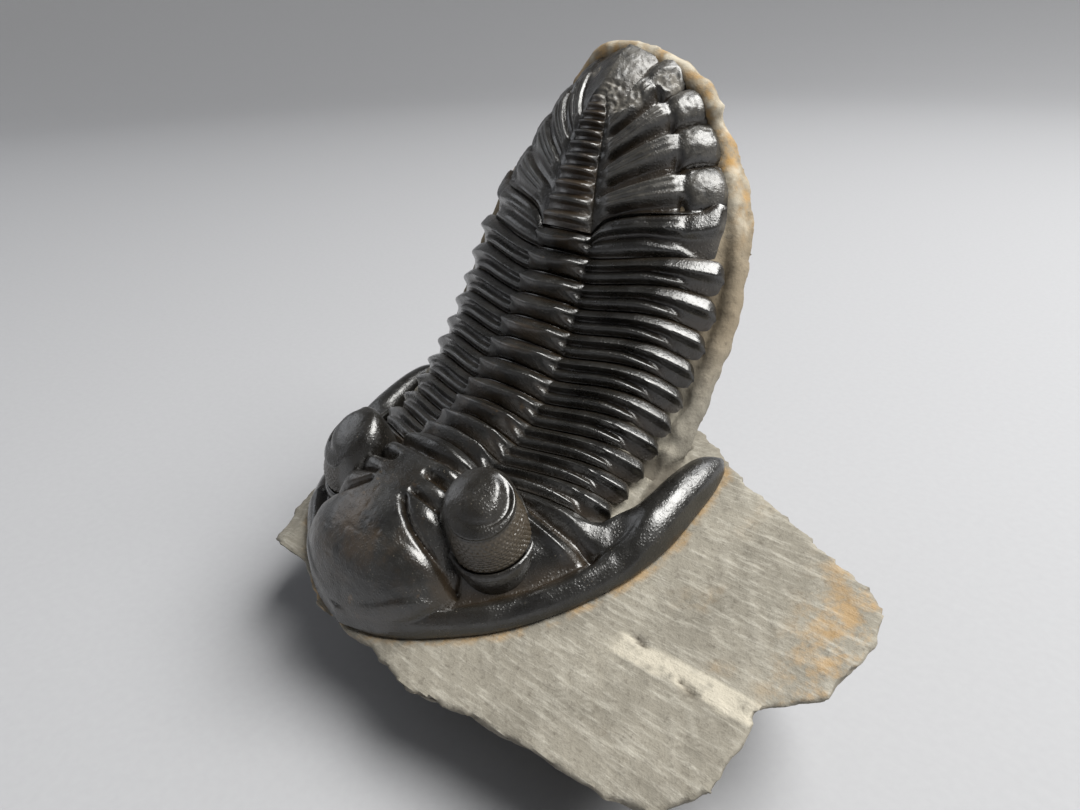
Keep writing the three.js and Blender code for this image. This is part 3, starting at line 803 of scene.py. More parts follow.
    def side(self, sign: int, k: np.ndarray) -> tuple[np.ndarray, np.ndarray, np.ndarray, np.ndarray]:
        """Upper and lower points of one side.

        Args:
            sign: 1 for the animal's left, -1 for its right.
            k: Joint line numbers, one for each row.

        Returns:
            Upper points, lower points, relief and wear.
        """
        line = curve(self.axis_line, k) + np.where(k == 0, JOINT_GAP / 2, 0)
        fade = np.clip((self.end - k) / self.axis_close, 0, 1)
        axis = table(BACK.axis_half_width, line) * fade
        crest = table(BACK.ring_height, line) * fade
        strength = 1.0 if sign > 0 else self.far_side
        notch = self.lobe_depth * strength * (1 - np.abs(np.sin(np.pi * k)) ** 0.5)
        margin_x = curve(self.margin_x, k) * (1 - notch * np.minimum(k, 1) / self.lobe_radius)
        margin_s = curve(self.margin_s, k) - notch * self.rear_lobes.at(k)
        drop = curve(self.drop, k)[:, None]
        ring_turn = np.linspace(0, math.pi / 2, self.ring_columns // COARSE + 1)
        ring_x = axis[:, None] * np.sin(ring_turn)
        ring_h = crest[:, None] * np.cos(ring_turn)
        ring_s = line[:, None] + 0 * ring_x
        ring_lift = self.ring_relief(ring_s) * (1 - np.sin(ring_turn) ** 12) * fade[:, None]
        turn = np.linspace(0, math.pi / 2, self.side_columns // COARSE + 1)[1:]
        out, down, lean = BACK.side_curve(turn)
        down = down / BACK.fall_scale
        bend_x = (axis + table(self.bend_x, k) * (margin_x - axis))[:, None]
        bend_s = (line + table(self.bend_s, k) * (margin_s - line))[:, None]

        def along(start: np.ndarray, middle: np.ndarray, finish: np.ndarray) -> np.ndarray:
            """Points on the bowed line from axis to margin."""
            return (1 - out) ** 2 * start + 2 * out * (1 - out) * middle + out**2 * finish

        x = along(axis[:, None], bend_x, margin_x[:, None])
        s = along(line[:, None], bend_s, margin_s[:, None])
        first = 0 if k[0] < k[-1] else -1
        joint = THORAX_END + JOINT_GAP / 2 + BACK.sweep(SEGMENTS, x[first], THORAX_END)
        s = s + np.maximum(0, 1 - k)[:, None] ** self.joint_fade_power * (joint - s[first])
        run = np.stack([margin_x - bend_x[:, 0], (margin_s - bend_s[:, 0]) * np.minimum(1, k)], -1)
        run /= np.linalg.norm(run, axis=1, keepdims=True) + 1e-9
        relief = self.rib_relief(k[:, None], out, strength) * np.minimum(1, out * 6)

        def surface(distance: np.ndarray) -> np.ndarray:
            """Places at a distance above the bare vault."""
            lean_out = np.sin(lean) * distance
            return BACK.place(sign * (x + run[:, :1] * lean_out), s + run[:, 1:] * lean_out,
                              -drop * down + np.cos(lean) * distance)

        bare = np.concatenate([BACK.place(sign * ring_x, ring_s, ring_h), surface(0 * x)], axis=1)
        worn = self.wear(sign * np.concatenate([ring_x, x], 1), np.concatenate([ring_s, s], 1), bare)
        on_pads = np.concatenate([0 * ring_x, 0 * x + self.pad_grain_from.at(out)], axis=1)
        grain = self.grain.at(bare) + self.waves.at(bare) + on_pads * self.pad_grain.at(bare)
        pits = self.pits.at(bare) - np.abs(self.deep_pits.at(bare)) - self.pit_base
        extra = grain * (1 - worn) + pits * worn**2
        split = ring_x.shape[1]
        ring_lift = ring_lift * (1 - self.worn_ring_loss * worn[:, :split])
        lift = relief * (1 - self.margin_round.at(out)) * (1 - self.worn_rib_loss * worn[:, split:])
        middle = BACK.place(sign * ring_x, ring_s, ring_h + ring_lift + extra[:, :split])
        upper = np.concatenate([middle, surface(lift + extra[:, split:])], axis=1)
        ends = [0, -1]
        inner = BACK.place(sign * ring_x[:, ends], ring_s[:, ends], ring_h[:, ends] - self.under)
        picks = np.linspace(0, len(out) - 1, self.under_columns).astype(int)
        outer = surface(np.full_like(x, -self.under))[:, picks]
        lower = np.concatenate([inner, outer], axis=1)
        height = np.concatenate([ring_lift - self.ring_brownness, relief], axis=1)
        return upper, lower, np.clip(height, *RELIEF_RANGE), worn

    def build(self) -> Piece:
        """Joins both sides of the tail behind the axis.

        Returns:
            The closed plate.
        """
        k = np.linspace(0, self.end, self.rows // COARSE + 1)
        left = self.side(1, k)
        right = self.side(-1, k[::-1])
        upper, lower, relief, worn = (np.concatenate([a, b[1:]]) for a, b in zip(left, right))
        upper[:, 0, 0] = 0
        lower[:, 0, 0] = 0
        axis_columns = self.ring_columns // COARSE
        rings = np.zeros(upper.shape[:2])
        rings[:, :axis_columns] = self.brown_share
        dull = np.clip(relief - self.dull_from, 0, self.dull_most)
        dull[:, :axis_columns + 1] = 0
        values = {"relief": relief, "worn": np.maximum(worn, dull), "bulb": rings * (1 - worn)}
        return closed_sheet("pygidium_surface", upper, lower, values, first_wall=False)


@dataclass(frozen=True)
class Groove:
    """A furrow of the head, along a line of (x, t) points."""

    line: tuple
    width: float
    depth: float
    power: float = 2.2

    def at(self, x: np.ndarray, t: np.ndarray) -> np.ndarray:
        """Depth of the furrow at places on the head."""
        return self.depth * np.exp(-np.abs(distance_to_line(self.line, x, t) / self.width) ** self.power)


@dataclass(frozen=True)
class Cephalon:
    """Head plate: glabella, cheeks, borders and genal spines, grown in one."""

    margin: tuple = ((0, 0), (4.5, 1.0), (7.9, 2.4), (12.8, 5.5), (17.2, 9.0), (20.8, 13.2), (23.9, 18.2),
                     (25.9, 22.8), (27.0, 28.5), (27.1, 35), (26.6, 39), (25.7, 40.6))
    spine_start: float = 0.62
    spine_inner: tuple = ((20.3, 25.2, 3.0), (21.3, 29.2, 2.2), (22.3, 35, 1.6), (23.2, 38.5, 1.3),
                          (24.8, 40.4, 0.7))
    rear_reach: float = 19.6
    dome: float = 7.3
    dome_power: float = 2.2
    centre: tuple[float, float] = (0.0, 21.0)
    glabella_width: tuple = ((0.1, 0.5), (0.8, 2.6), (1.6, 4.9), (2.6, 7.2), (4.5, 9.8), (6.5, 11.1),
                             (8.2, 11.6), (9.3, 10.9), (10.3, 9.8), (11.6, 9.6), (13, 9.4), (14.4, 8.7),
                             (15.5, 8.4), (17, 7.9), (18.6, 7.4), (20, 7.0), (24, 6.3))
    glabella_crest: tuple = ((0.1, 0.6), (0.8, 2.0), (1.6, 3.4), (3, 5.4), (4.5, 7.1), (7, 8.9), (10, 10.0),
                             (14, 10.5), (18, 10.4), (20, 10.3), (24, 10.1))
    glabella_front: float = 0.1
    section_power: tuple = ((3, 2.3), (9, 2.1), (12, 2.5), (24, 2.4))
    swell_power: tuple = ((6, 0.50), (9, 0.66), (12, 0.64), (16, 0.56))
    foot_sink: float = 0.35
    columns: int = 160
    rungs: int = 230
    even_columns: float = 0.35
    column_skew: float = 0.85
    under_inset: float = 2.6
    under_share: float = 0.3
    border_width: float = 1.5
    border_widening: Ease = Ease(0.05, 0.42, 2.9)
    border_edge: float = 0.55
    border_roll: float = 1.85
    border_roll_power: float = 0.75
    border_furrow: float = 1.3
    border_crest: float = 0.62
    border_rear: float = 0.42
    border_blend: float = 0.32
    side_lobes: tuple = ((Bell(12.2, 1.2, 0.60), Bell(7.0, 2.0)), (Bell(15.2, 0.95, 0.65), Bell(6.0, 2.0)),
                         (Bell(17.9, 0.85, 0.65), Bell(5.6, 2.0)))
    neck_ring: Bell = Bell(20.9, 0.95, 0.60)
    rear_ridge: Bell = Bell(22.3, 0.66, 0.75)
    rear_ridge_from: Ease = Ease(7, 9)
    rear_ridge_to: Ease = Ease(18, 20)
    crease_place: tuple[float, float] = (11, 19.6)
    crease_slant: float = 0.055
    crease_width: float = 0.55
    crease_power: float = 1.4
    crease_height: float = 0.82
    crease_from: Ease = Ease(8, 10.5)
    crease_to: Ease = Ease(19, 21)
    spine_base: float = 0.7
    spine_height: float = 3.1
    spine_blend: Ease = Ease(0.0, 0.30)
    rear_edge: Ease = Ease(0.0, 1.6)
    rear_edge_lift: float = 0.15
    rear_bevel: Bell = Bell(0, 0.18, 0.5)
    rim_radius: float = 0.55
    rim_height: float = 0.25
    rear_floor: float = 2.4
    rear_sink: float = 0.35
    front_bulb: tuple[Bell, Bell] = (Bell(0, 9.0), Bell(7, 6.0))
    grain: Grain = Grain(0.8, 0.035, 51)
    waves: Grain = Grain(2.6, 0.05, 53)
    pits: Grain = Grain(0.55, 1.0, 57, 1)
    pit_from: Ease = Ease(0.25, 0.8, 0.07)
    groove_colour: float = 0.25
    grooves: tuple[Groove, ...] = (
        Groove(((2.9, 12.6), (4.2, 11.5), (5.6, 10.7), (7.5, 10.1), (9.4, 9.7), (10.6, 9.3)), 0.36, 1.10),
        Groove(((3.3, 13.9), (5.0, 13.8), (6.9, 13.8)), 0.34, 1.00),
        Groove(((3.0, 16.5), (5.0, 16.4), (7.2, 16.5)), 0.46, 1.20),
        Groove(((0.0, 18.9), (2.3, 19.0), (4.6, 19.2), (6.9, 19.8)), 0.50, 1.20),
        Groove(((7.4, 20.6), (9.7, 20.9), (12.6, 21.1), (16.2, 20.9), (19.4, 20.8), (20.9, 20.5)),
               0.70, 1.05),
        Groove(((10.9, 8.2), (11.6, 8.8), (13.8, 10.5), (16.9, 13.4), (19.4, 17.0), (20.9, 20.4)),
               1.25, 0.85),
        Groove(((7.0, 20.2), (7.6, 18.5), (8.2, 16.4), (9.2, 13.8), (10.1, 11.4), (11.1, 9.2)), 0.50, 0.80),
    )

    def outer(self, v: np.ndarray) -> np.ndarray:
        """Points (x, t) of the outer rail at fractions v of its length."""
        return along_line(self.margin, v)

    def rear(self, v: np.ndarray) -> np.ndarray:
        """Points (x, t, n) of the rear rail at fractions v of its length.

        Args:
            v: Fractions, 0 on the midline and 1 at the tip of the genal spine.

        Returns:
            Points of the joint with the thorax, and then of the spine's inner edge.
        """
        x = self.rear_reach * np.minimum(v / self.spine_start, 1)
        s = BACK.sweep(0, x, 0) - JOINT_GAP / 2
        axis, drop = table(BACK.axis_half_width, 0), table(BACK.side_drop, 0)
        out = np.clip((x - axis) / (table(BACK.half_width, 0) - axis), 0, 1)
        arch = table(BACK.ring_height, 0) * np.sqrt(np.clip(1 - (x / axis) ** 2, 0, 1))
        joint = HEAD_PLANE.locate(BACK.place(x, s, arch - drop * BACK.fall(out) - self.rear_sink))
        joint[..., 2] = np.maximum(joint[..., 2], self.rear_floor)
        f = np.clip((v - self.spine_start) / (1 - self.spine_start), 0, 1)
        ease = smoothstep(self.spine_start - 0.03, self.spine_start + 0.04, v)[..., None]
        return joint * (1 - ease) + along_line(self.spine_inner, f) * ease

    def furrows(self, x: np.ndarray, t: np.ndarray) -> np.ndarray:
        """Summed depth of all furrows at places on the head."""
        return sum(groove.at(x, t) for groove in self.grooves)

    def cheek_height(self, x: np.ndarray, t: np.ndarray, edge: np.ndarray, width: np.ndarray) -> np.ndarray:
        """Height of the domed cheek and its rolled border.

        Args:
            x: Distances from the midline, without sign.
            t: Distances back from the front border.
            edge: Distances in from the outer margin.
            width: Widths of the border there.

        Returns:
            Heights over the margin plane.
        """
        inside = edge / (edge + np.hypot(x - self.centre[0], t - self.centre[1]) + 1e-6)
        dome = self.dome * (1 - (1 - inside) ** self.dome_power)
        near = np.clip(edge / (self.border_crest * width), 0, 1)
        beyond = np.clip((edge - self.border_crest * width) / (self.border_rear * width), 0, 1)
        roll = self.border_edge + self.border_roll * np.sin(near * math.pi / 2) ** self.border_roll_power
        roll = roll - self.border_furrow * (0.5 - 0.5 * np.cos(beyond * math.pi))
        over = np.clip((roll - dome) / self.border_blend, -30, 30)
        return dome + self.border_blend * np.log1p(np.exp(over))

    def height(self, x: np.ndarray, t: np.ndarray, edge: np.ndarray, width: np.ndarray) -> np.ndarray:
        """Height of the surface: cheeks, glabella with its lobes, ridges and furrows.

        Args:
            x: Distances from the midline, without sign.
            t: Distances back from the front border.
            edge: Distances in from the outer margin.
            width: Widths of the border there.

        Returns:
            Heights over the margin plane.
        """
        cheek = self.cheek_height(x, t, edge, width)
        half = curve(self.glabella_width, t)
        crest = curve(self.glabella_crest, t)
        ratio = np.clip(x / half, 0, 1)
        swell = (1 - ratio ** table(self.section_power, t)) ** table(self.swell_power, t)
        foot = np.minimum(cheek, crest) - self.foot_sink
        on_glabella = (ratio < 1) & (t > self.glabella_front)
        glabella = np.where(on_glabella, foot + (crest - foot) * swell, -1.0)
        lobes = sum(length.at(t) * across.at(x) for length, across in self.side_lobes) + self.neck_ring.at(t)
        surface = np.maximum(cheek, glabella + lobes * (x < half))
        ridge = self.rear_ridge.at(t) * self.rear_ridge_from.at(x) * (1 - self.rear_ridge_to.at(x))
        offset = t - self.crease_place[1] + self.crease_slant * (x - self.crease_place[0])
        crease = self.crease_height * np.exp(-np.abs(offset / self.crease_width) ** self.crease_power)
        crease = crease * self.crease_from.at(x) * (1 - self.crease_to.at(x))
        return surface + ridge + crease - self.furrows(x, t)

    def build(self) -> Piece:
        """Spans rungs from the rear rail to the margin and raises them.

        Returns:
            The closed plate.
        """
        v = np.linspace(-1, 1, self.rungs // COARSE * 2 + 1)
        side = np.abs(v)
        sign = np.where(v < 0, -1, 1)[:, None]
        rear, outer = self.rear(side), self.outer(side)
        grid = np.linspace(0, 1, self.columns // COARSE + 1)
        eased = 0.5 - 0.5 * np.cos(np.pi * grid**self.column_skew)
        f = (self.even_columns * grid + (1 - self.even_columns) * eased)[None, :]
        across = outer[:, None, :] - rear[:, None, :2]
        length = np.linalg.norm(across, axis=-1) + 1e-9
        x = rear[:, None, 0] + across[..., 0] * f
        t = rear[:, None, 1] + across[..., 1] * f
        edge = length * (1 - f)
        back_edge = length * f
        width = self.border_width + self.border_widening.at(side)[:, None]
        spine = np.clip((side - self.spine_start) / (1 - self.spine_start), 0, 1)[:, None]
        oval = np.sqrt(np.clip(4 * f * (1 - f), 0, 1))
        ridge = self.spine_base + self.spine_height * (1 - spine**5) * oval
        blend = self.spine_blend.at(spine)
        n = self.height(x, t, edge, width) * (1 - blend) + ridge * blend
        at_rear = (1 - self.rear_edge.at(back_edge)) * (1 - blend)
        n = n * (1 - at_rear) + (rear[:, None, 2] + self.rear_edge_lift) * at_rear
        n = n - self.rear_bevel.at(back_edge)
        rim = 1 - np.sqrt(np.clip(1 - (1 - np.clip(edge / self.rim_radius, 0, 1)) ** 2, 0, 1))
        n = n * (1 - rim) + np.minimum(n, self.rim_height) * rim
        bare = HEAD_PLANE.place(sign * x, t, n)
        bulb = self.front_bulb[0].at(x) * self.front_bulb[1].at(t)
        pits = bulb * self.pit_from.at(self.pits.at(bare))
        upper = HEAD_PLANE.place(sign * x, t, n + self.grain.at(bare) + self.waves.at(bare) - pits)
        inner = rear[:, :2] + across[:, 0] / length * np.minimum(self.under_inset, length * self.under_share)
        rails = [HEAD_PLANE.place(sign[:, 0] * rail[:, 0], rail[:, 1], 0) for rail in (inner, outer)]
        under = np.stack(rails, axis=1)
        hollow = self.furrows(x, t) * (1 - blend)
        values = {"relief": np.clip(self.groove_colour - hollow, *RELIEF_RANGE), "bulb": bulb}
        return closed_sheet("cephalon_surface", upper, under, values)


@dataclass(frozen=True)
class Eye:
    """One compound eye: a lens-covered wall under a smooth lid, on a bulge of the cheek.

    Its profiles give (fraction down, radius, height), and its angles are in the head's (x, t) plane.
    """

    side: Side
    x: float = 12.0
    t: float = 16.0
    lean_x: float = -0.8
    lean_t: float = 0.8
    lean_from: float = 3.0
    lean_height: float = 7.0
    tilts: tuple[float, float] = (0.20, 0.32)
    tilt_behind: float = 1.5
    tilt_from: Ease = Ease(5, 9)
    inward_rise: float = 0.16
    wall: tuple = ((0, 0, 10.70), (0.12, 1.3, 10.62), (0.20, 2.15, 10.42), (0.26, 2.65, 10.18),
                   (0.30, 3.0, 9.92), (0.34, 3.38, 9.62), (0.375, 3.75, 9.34), (0.405, 3.95, 9.06),
                   (0.43, 3.88, 8.75), (0.47, 4.05, 8.2), (0.60, 4.40, 6.6), (0.74, 4.40, 5.0),
                   (0.80, 4.22, 4.25), (0.83, 4.02, 3.80), (0.86, 4.22, 4.00), (0.885, 4.50, 4.28),
                   (0.91, 4.78, 3.95), (1.0, 5.0, 1.2))
    inner: tuple = ((0, 0, 10.75), (0.15, 1.5, 10.66), (0.3, 2.7, 10.35), (0.45, 3.7, 9.8), (0.6, 4.4, 8.9),
                    (0.75, 4.9, 7.8), (0.88, 5.3, 6.6), (1.0, 5.7, 4.4))
    wall_from: float = math.radians(-118)
    wall_to: float = math.radians(72)
    wall_ease: float = math.radians(22)
    long_axis: float = math.radians(-110)
    stretch: float = 0.10
    stretch_from: Ease = Ease(0.1, 0.4)
    lens_pitch: float = 0.62
    lens_row_pitch: float = 0.496
    lens_radius: float = 0.3224
    lens_roundness: float = 0.7
    lens_height: float = 0.13
    lens_rows: tuple[float, float] = (0.44, 0.79)
    lens_edge: float = 0.01
    lens_from: Ease = Ease(0.75, 1.0)
    wall_radius: float = 4.2
    wall_length: float = 9.2 / 0.6
    lens_zone: Ease = Ease(0.5, 1.0)
    lid_from: Ease = Ease(0.05, 0.15)
    lid_to: Ease = Ease(0.36, 0.40)
    lid_furrow: tuple[Bell, Bell] = (Bell(math.radians(-12), math.radians(58), 0.55), Bell(3.12, 0.34))
    lid_hollow: tuple[Bell, Bell] = (Bell(math.radians(24), math.radians(34), 0.70), Bell(2.72, 0.42))
    grain: Grain = Grain(0.8, 0.03, 61)
    # Pale line painted along the lip under the lens wall: partly residue, partly a painted highlight.
    lip_residue_and_highlight: Bell = Bell(0.872, 0.008, 0.9)
    turns: int = 230
    steps: int = 150

    def lenses(self, angle: np.ndarray, j: np.ndarray) -> np.ndarray:
        """Domes of the lenses, set in staggered rows.

        Args:
            angle: Angles round the eye.
            j: Fractions down the wall.

        Returns:
            Heights from 0 to 1.
        """
        row = (j - self.lens_rows[0]) * self.wall_length
        index = np.round(row / self.lens_row_pitch)
        column = angle * self.wall_radius / self.lens_pitch + 0.5 * (index % 2)
        gap = np.hypot((column - np.round(column)) * self.lens_pitch, row - index * self.lens_row_pitch)
        return np.clip(1 - (gap / self.lens_radius) ** 2, 0, 1) ** self.lens_roundness

    def build(self) -> Piece:
        """Turns the two profiles round the eye, raises the lenses and hollows the lid.

        Returns:
            The closed eye, its base buried in the cheek.
        """
        coarse = 1
        angle = np.linspace(-math.pi, math.pi, self.turns // coarse, endpoint=False)[:, None]
        j = np.linspace(0, 1, self.steps // coarse + 1)
        wall_start = smoothstep(self.wall_from - self.wall_ease, self.wall_from + self.wall_ease, angle)
        wall_end = smoothstep(self.wall_to - self.wall_ease, self.wall_to + self.wall_ease, angle)
        on_wall = wall_start * (1 - wall_end)
        wall_r, wall_n, inner_r, inner_n = (
            curve([(row[0], row[i]) for row in rows], j)
            for rows in (self.wall, self.inner) for i in (1, 2)
        )
        n = wall_n * on_wall + inner_n * (1 - on_wall)
        r = wall_r * on_wall + inner_r * (1 - on_wall)
        r = r * (1 + self.stretch * np.cos(angle - self.long_axis) * self.stretch_from.at(j))
        top, bottom = self.lens_rows
        band = smoothstep(top - self.lens_edge, top + self.lens_edge, j)
        band = band * (1 - smoothstep(bottom - self.lens_edge, bottom + self.lens_edge, j))
        r = r + self.lens_height * self.lenses(angle, j) * band * self.lens_from.at(on_wall)
        lift = np.clip((n - self.lean_from) / self.lean_height, 0, 1)
        x = self.x + self.lean_x * lift + r * np.cos(angle)
        t = self.t + self.lean_t * lift + r * np.sin(angle)
        dents = sum(around.at(angle) * reach.at(r) for around, reach in (self.lid_furrow, self.lid_hollow))
        n = n - dents * self.lid_from.at(j) * (1 - self.lid_to.at(j))
        tilt = self.tilts[0] if self.side is Side.LEFT else self.tilts[1]
        rise = tilt * (t - self.t + self.tilt_behind) - self.inward_rise * (x - self.x)
        n = n + rise * self.tilt_from.at(n)
        zone = band * self.lens_zone.at(on_wall)
        bare = HEAD_PLANE.place(self.side.value * x, t, n)
        place = HEAD_PLANE.place(self.side.value * x, t, n + self.grain.at(bare) * (1 - zone))
        # The pale lip line stored here is partly residue and partly a painted highlight.
        values = {"lens": zone.ravel(), "relief": (0 * n).ravel(),
                  "worn": (self.lip_residue_and_highlight.at(j) * on_wall).ravel()}
        name = "eye_left" if self.side is Side.LEFT else "eye_right"
        return Piece(name, place.reshape(-1, 3), self.faces(*n.shape), values)

    def faces(self, turns: int, steps: int) -> list[list[int]]:
        """Faces round the eye, joined at its top and closed by one face at its base.

        Args:
            turns: Points round the eye.
            steps: Points from its top to its base.

        Returns:
            Faces that point outward.
        """
        index = np.arange(turns * steps).reshape(turns, steps)
        following = np.roll(index, -1, axis=0)
        quads = np.stack([index[:, :-1], index[:, 1:], following[:, 1:], following[:, :-1]], -1)
        joined = index.copy()
        joined[:, 0] = index[0, 0]
        quads = joined.ravel()[quads.reshape(-1, 4)].tolist()
        faces = [[v for i, v in enumerate(quad) if v != quad[i - 1]] for quad in quads]
        base = index[:, -1].tolist()
        if self.side is Side.LEFT:
            return [face[::-1] for face in faces] + [base]
        return faces + [base[::-1]]


class Socket:
    """A shader socket that takes Python operators and adds the Math nodes for them."""

    def __init__(self, tree: bpy.types.NodeTree, output: bpy.types.NodeSocket) -> None:
        """Wraps an output socket."""
        self.tree = tree
        self.output = output

    def _math(self, operation: str, *inputs: "Socket | float") -> "Socket":
        """Adds one Math node.

        Args:
            operation: Blender's name of the operation.
            inputs: Sockets or numbers.

        Returns:
            The result's socket.
        """
        node = self.tree.nodes.new("ShaderNodeMath")
        node.operation = operation
        for place, value in zip(node.inputs, inputs):
            if isinstance(value, Socket):
                self.tree.links.new(value.output, place)
            else:
                place.default_value = value
        return Socket(self.tree, node.outputs[0])

    def __add__(self, other: "Socket | float") -> "Socket":
        """Sum."""
        return self._math("ADD", self, other)

    __radd__ = __add__

    def __mul__(self, other: "Socket | float") -> "Socket":
        """Product."""
        return self._math("MULTIPLY", self, other)

    __rmul__ = __mul__

    def __sub__(self, other: "Socket | float") -> "Socket":
        """Difference."""
        return self._math("SUBTRACT", self, other)

    def __rsub__(self, other: float) -> "Socket":
        """Reflected difference."""
        return self._math("SUBTRACT", other, self)

    def __truediv__(self, other: "Socket | float") -> "Socket":
        """Quotient."""
        return self._math("DIVIDE", self, other)

    def clamp(self, low: float, high: float) -> "Socket":
        """Rises from 0 at low to 1 at high, and no further."""
        ratio = (self - low) / (high - low)
        return ratio._math("MINIMUM", ratio._math("MAXIMUM", ratio, 0.0), 1.0)


Colour = tuple[float, float, float]


class Shader:
    """A material under construction."""

    def __init__(self, name: str) -> None:
        """Starts a material with only its output and main shader.

        Args:
            name: The material's name.
        """
        self.material = bpy.data.materials.new(name)
        self.material.use_nodes = True
        self.tree = self.material.node_tree
        self.main = self.tree.nodes["Principled BSDF"]
        self.place = self.add("ShaderNodeTexCoord").outputs["Object"]

    def add(self, kind: str, settings: dict | None = None, **inputs: object) -> bpy.types.Node:
        """Adds any node.

        Args:
            kind: Blender's node type.
            settings: Properties, set first; "stops" fills a colour ramp.
            inputs: Socket values or links, by socket name with spaces as underscores.

        Returns:
            The node.
        """
        node = self.tree.nodes.new(kind)
        for key, value in (settings or {}).items():
            if key == "stops":
                while len(node.color_ramp.elements) < len(value):
                    node.color_ramp.elements.new(0.5)
                for element, (position, colour) in zip(node.color_ramp.elements, value):
                    element.position = position
                    element.color = (*colour, 1)
            else:
                setattr(node, key, value)
        for key, value in inputs.items():
            self.feed(node.inputs[key.replace("_", " ")], value)
        return node

    def feed(self, socket: bpy.types.NodeSocket, value: object) -> None:
        """Links or sets one input socket.

        Args:
            socket: The input.
            value: A socket to link, or a number or colour to set.
        """
        if isinstance(value, Socket):
            self.tree.links.new(value.output, socket)
        elif isinstance(value, bpy.types.NodeSocket):
            self.tree.links.new(value, socket)
        elif isinstance(value, tuple) and len(value) == 3 and socket.type == "RGBA":
            socket.default_value = (*value, 1)
        else:
            socket.default_value = value

    def noise(self, scale: float, detail: float = 4, roughness: float = 0.55,
              vector: bpy.types.NodeSocket | None = None) -> Socket:
        """Noise from 0 to 1.

        Args:
            scale: Cycles a metre.
            detail: Number of finer layers.
            roughness: Strength of the finer layers.
            vector: Coordinates; the object's own where it is left out.

        Returns:
            The noise.
        """
        node = self.add("ShaderNodeTexNoise", {"noise_dimensions": "3D"}, Vector=vector or self.place,
                        Scale=scale, Detail=detail, Roughness=roughness)
        return Socket(self.tree, node.outputs["Fac"])

    def cells(self, scale: float) -> Socket:
        """Distance to the nearest of scattered points."""
        node = self.add("ShaderNodeTexVoronoi", {"feature": "F1"}, Vector=self.place, Scale=scale)
        return Socket(self.tree, node.outputs["Distance"])

    def stored(self, name: str) -> Socket:
        """A value stored on the mesh's points."""
        node = self.add("ShaderNodeAttribute", {"attribute_name": name})
        return Socket(self.tree, node.outputs["Fac"])

    def stretched(self, scale: tuple[float, float, float], turn: float) -> bpy.types.NodeSocket:
        """Object coordinates turned by an angle round Z and stretched.

        Args:
            scale: Stretch along each axis.
            turn: Angle in radians.

        Returns:
            The vector's socket.
        """
        node = self.add("ShaderNodeMapping", {"vector_type": "POINT"}, Vector=self.place,
                        Rotation=(0.0, 0.0, turn), Scale=scale)
        return node.outputs["Vector"]

    def mix(self, factor: Socket, first: object, second: object) -> bpy.types.NodeSocket:
        """Mixes two colours, the second by the factor's share.

        Args:
            factor: Share of the second colour.
            first: Colour or socket.
            second: Colour or socket.

        Returns:
            The mixed colour's socket.
        """
        node = self.add("ShaderNodeMix", {"data_type": "RGBA"})
        self.feed(node.inputs[0], factor)
        self.feed(node.inputs[6], first)
        self.feed(node.inputs[7], second)
        return node.outputs[2]

    def bump(self, height: Socket, distance: float, strength: float) -> None:
        """Feeds the shader's normal from a height.

        Args:
            height: The height, from 0 to about 1.
            distance: Metres that a height of 1 stands for.
            strength: Share of the effect.
        """
        node = self.add("ShaderNodeBump", None, Height=height, Distance=distance, Strength=strength)
        self.feed(self.main.inputs["Normal"], node.outputs["Normal"])


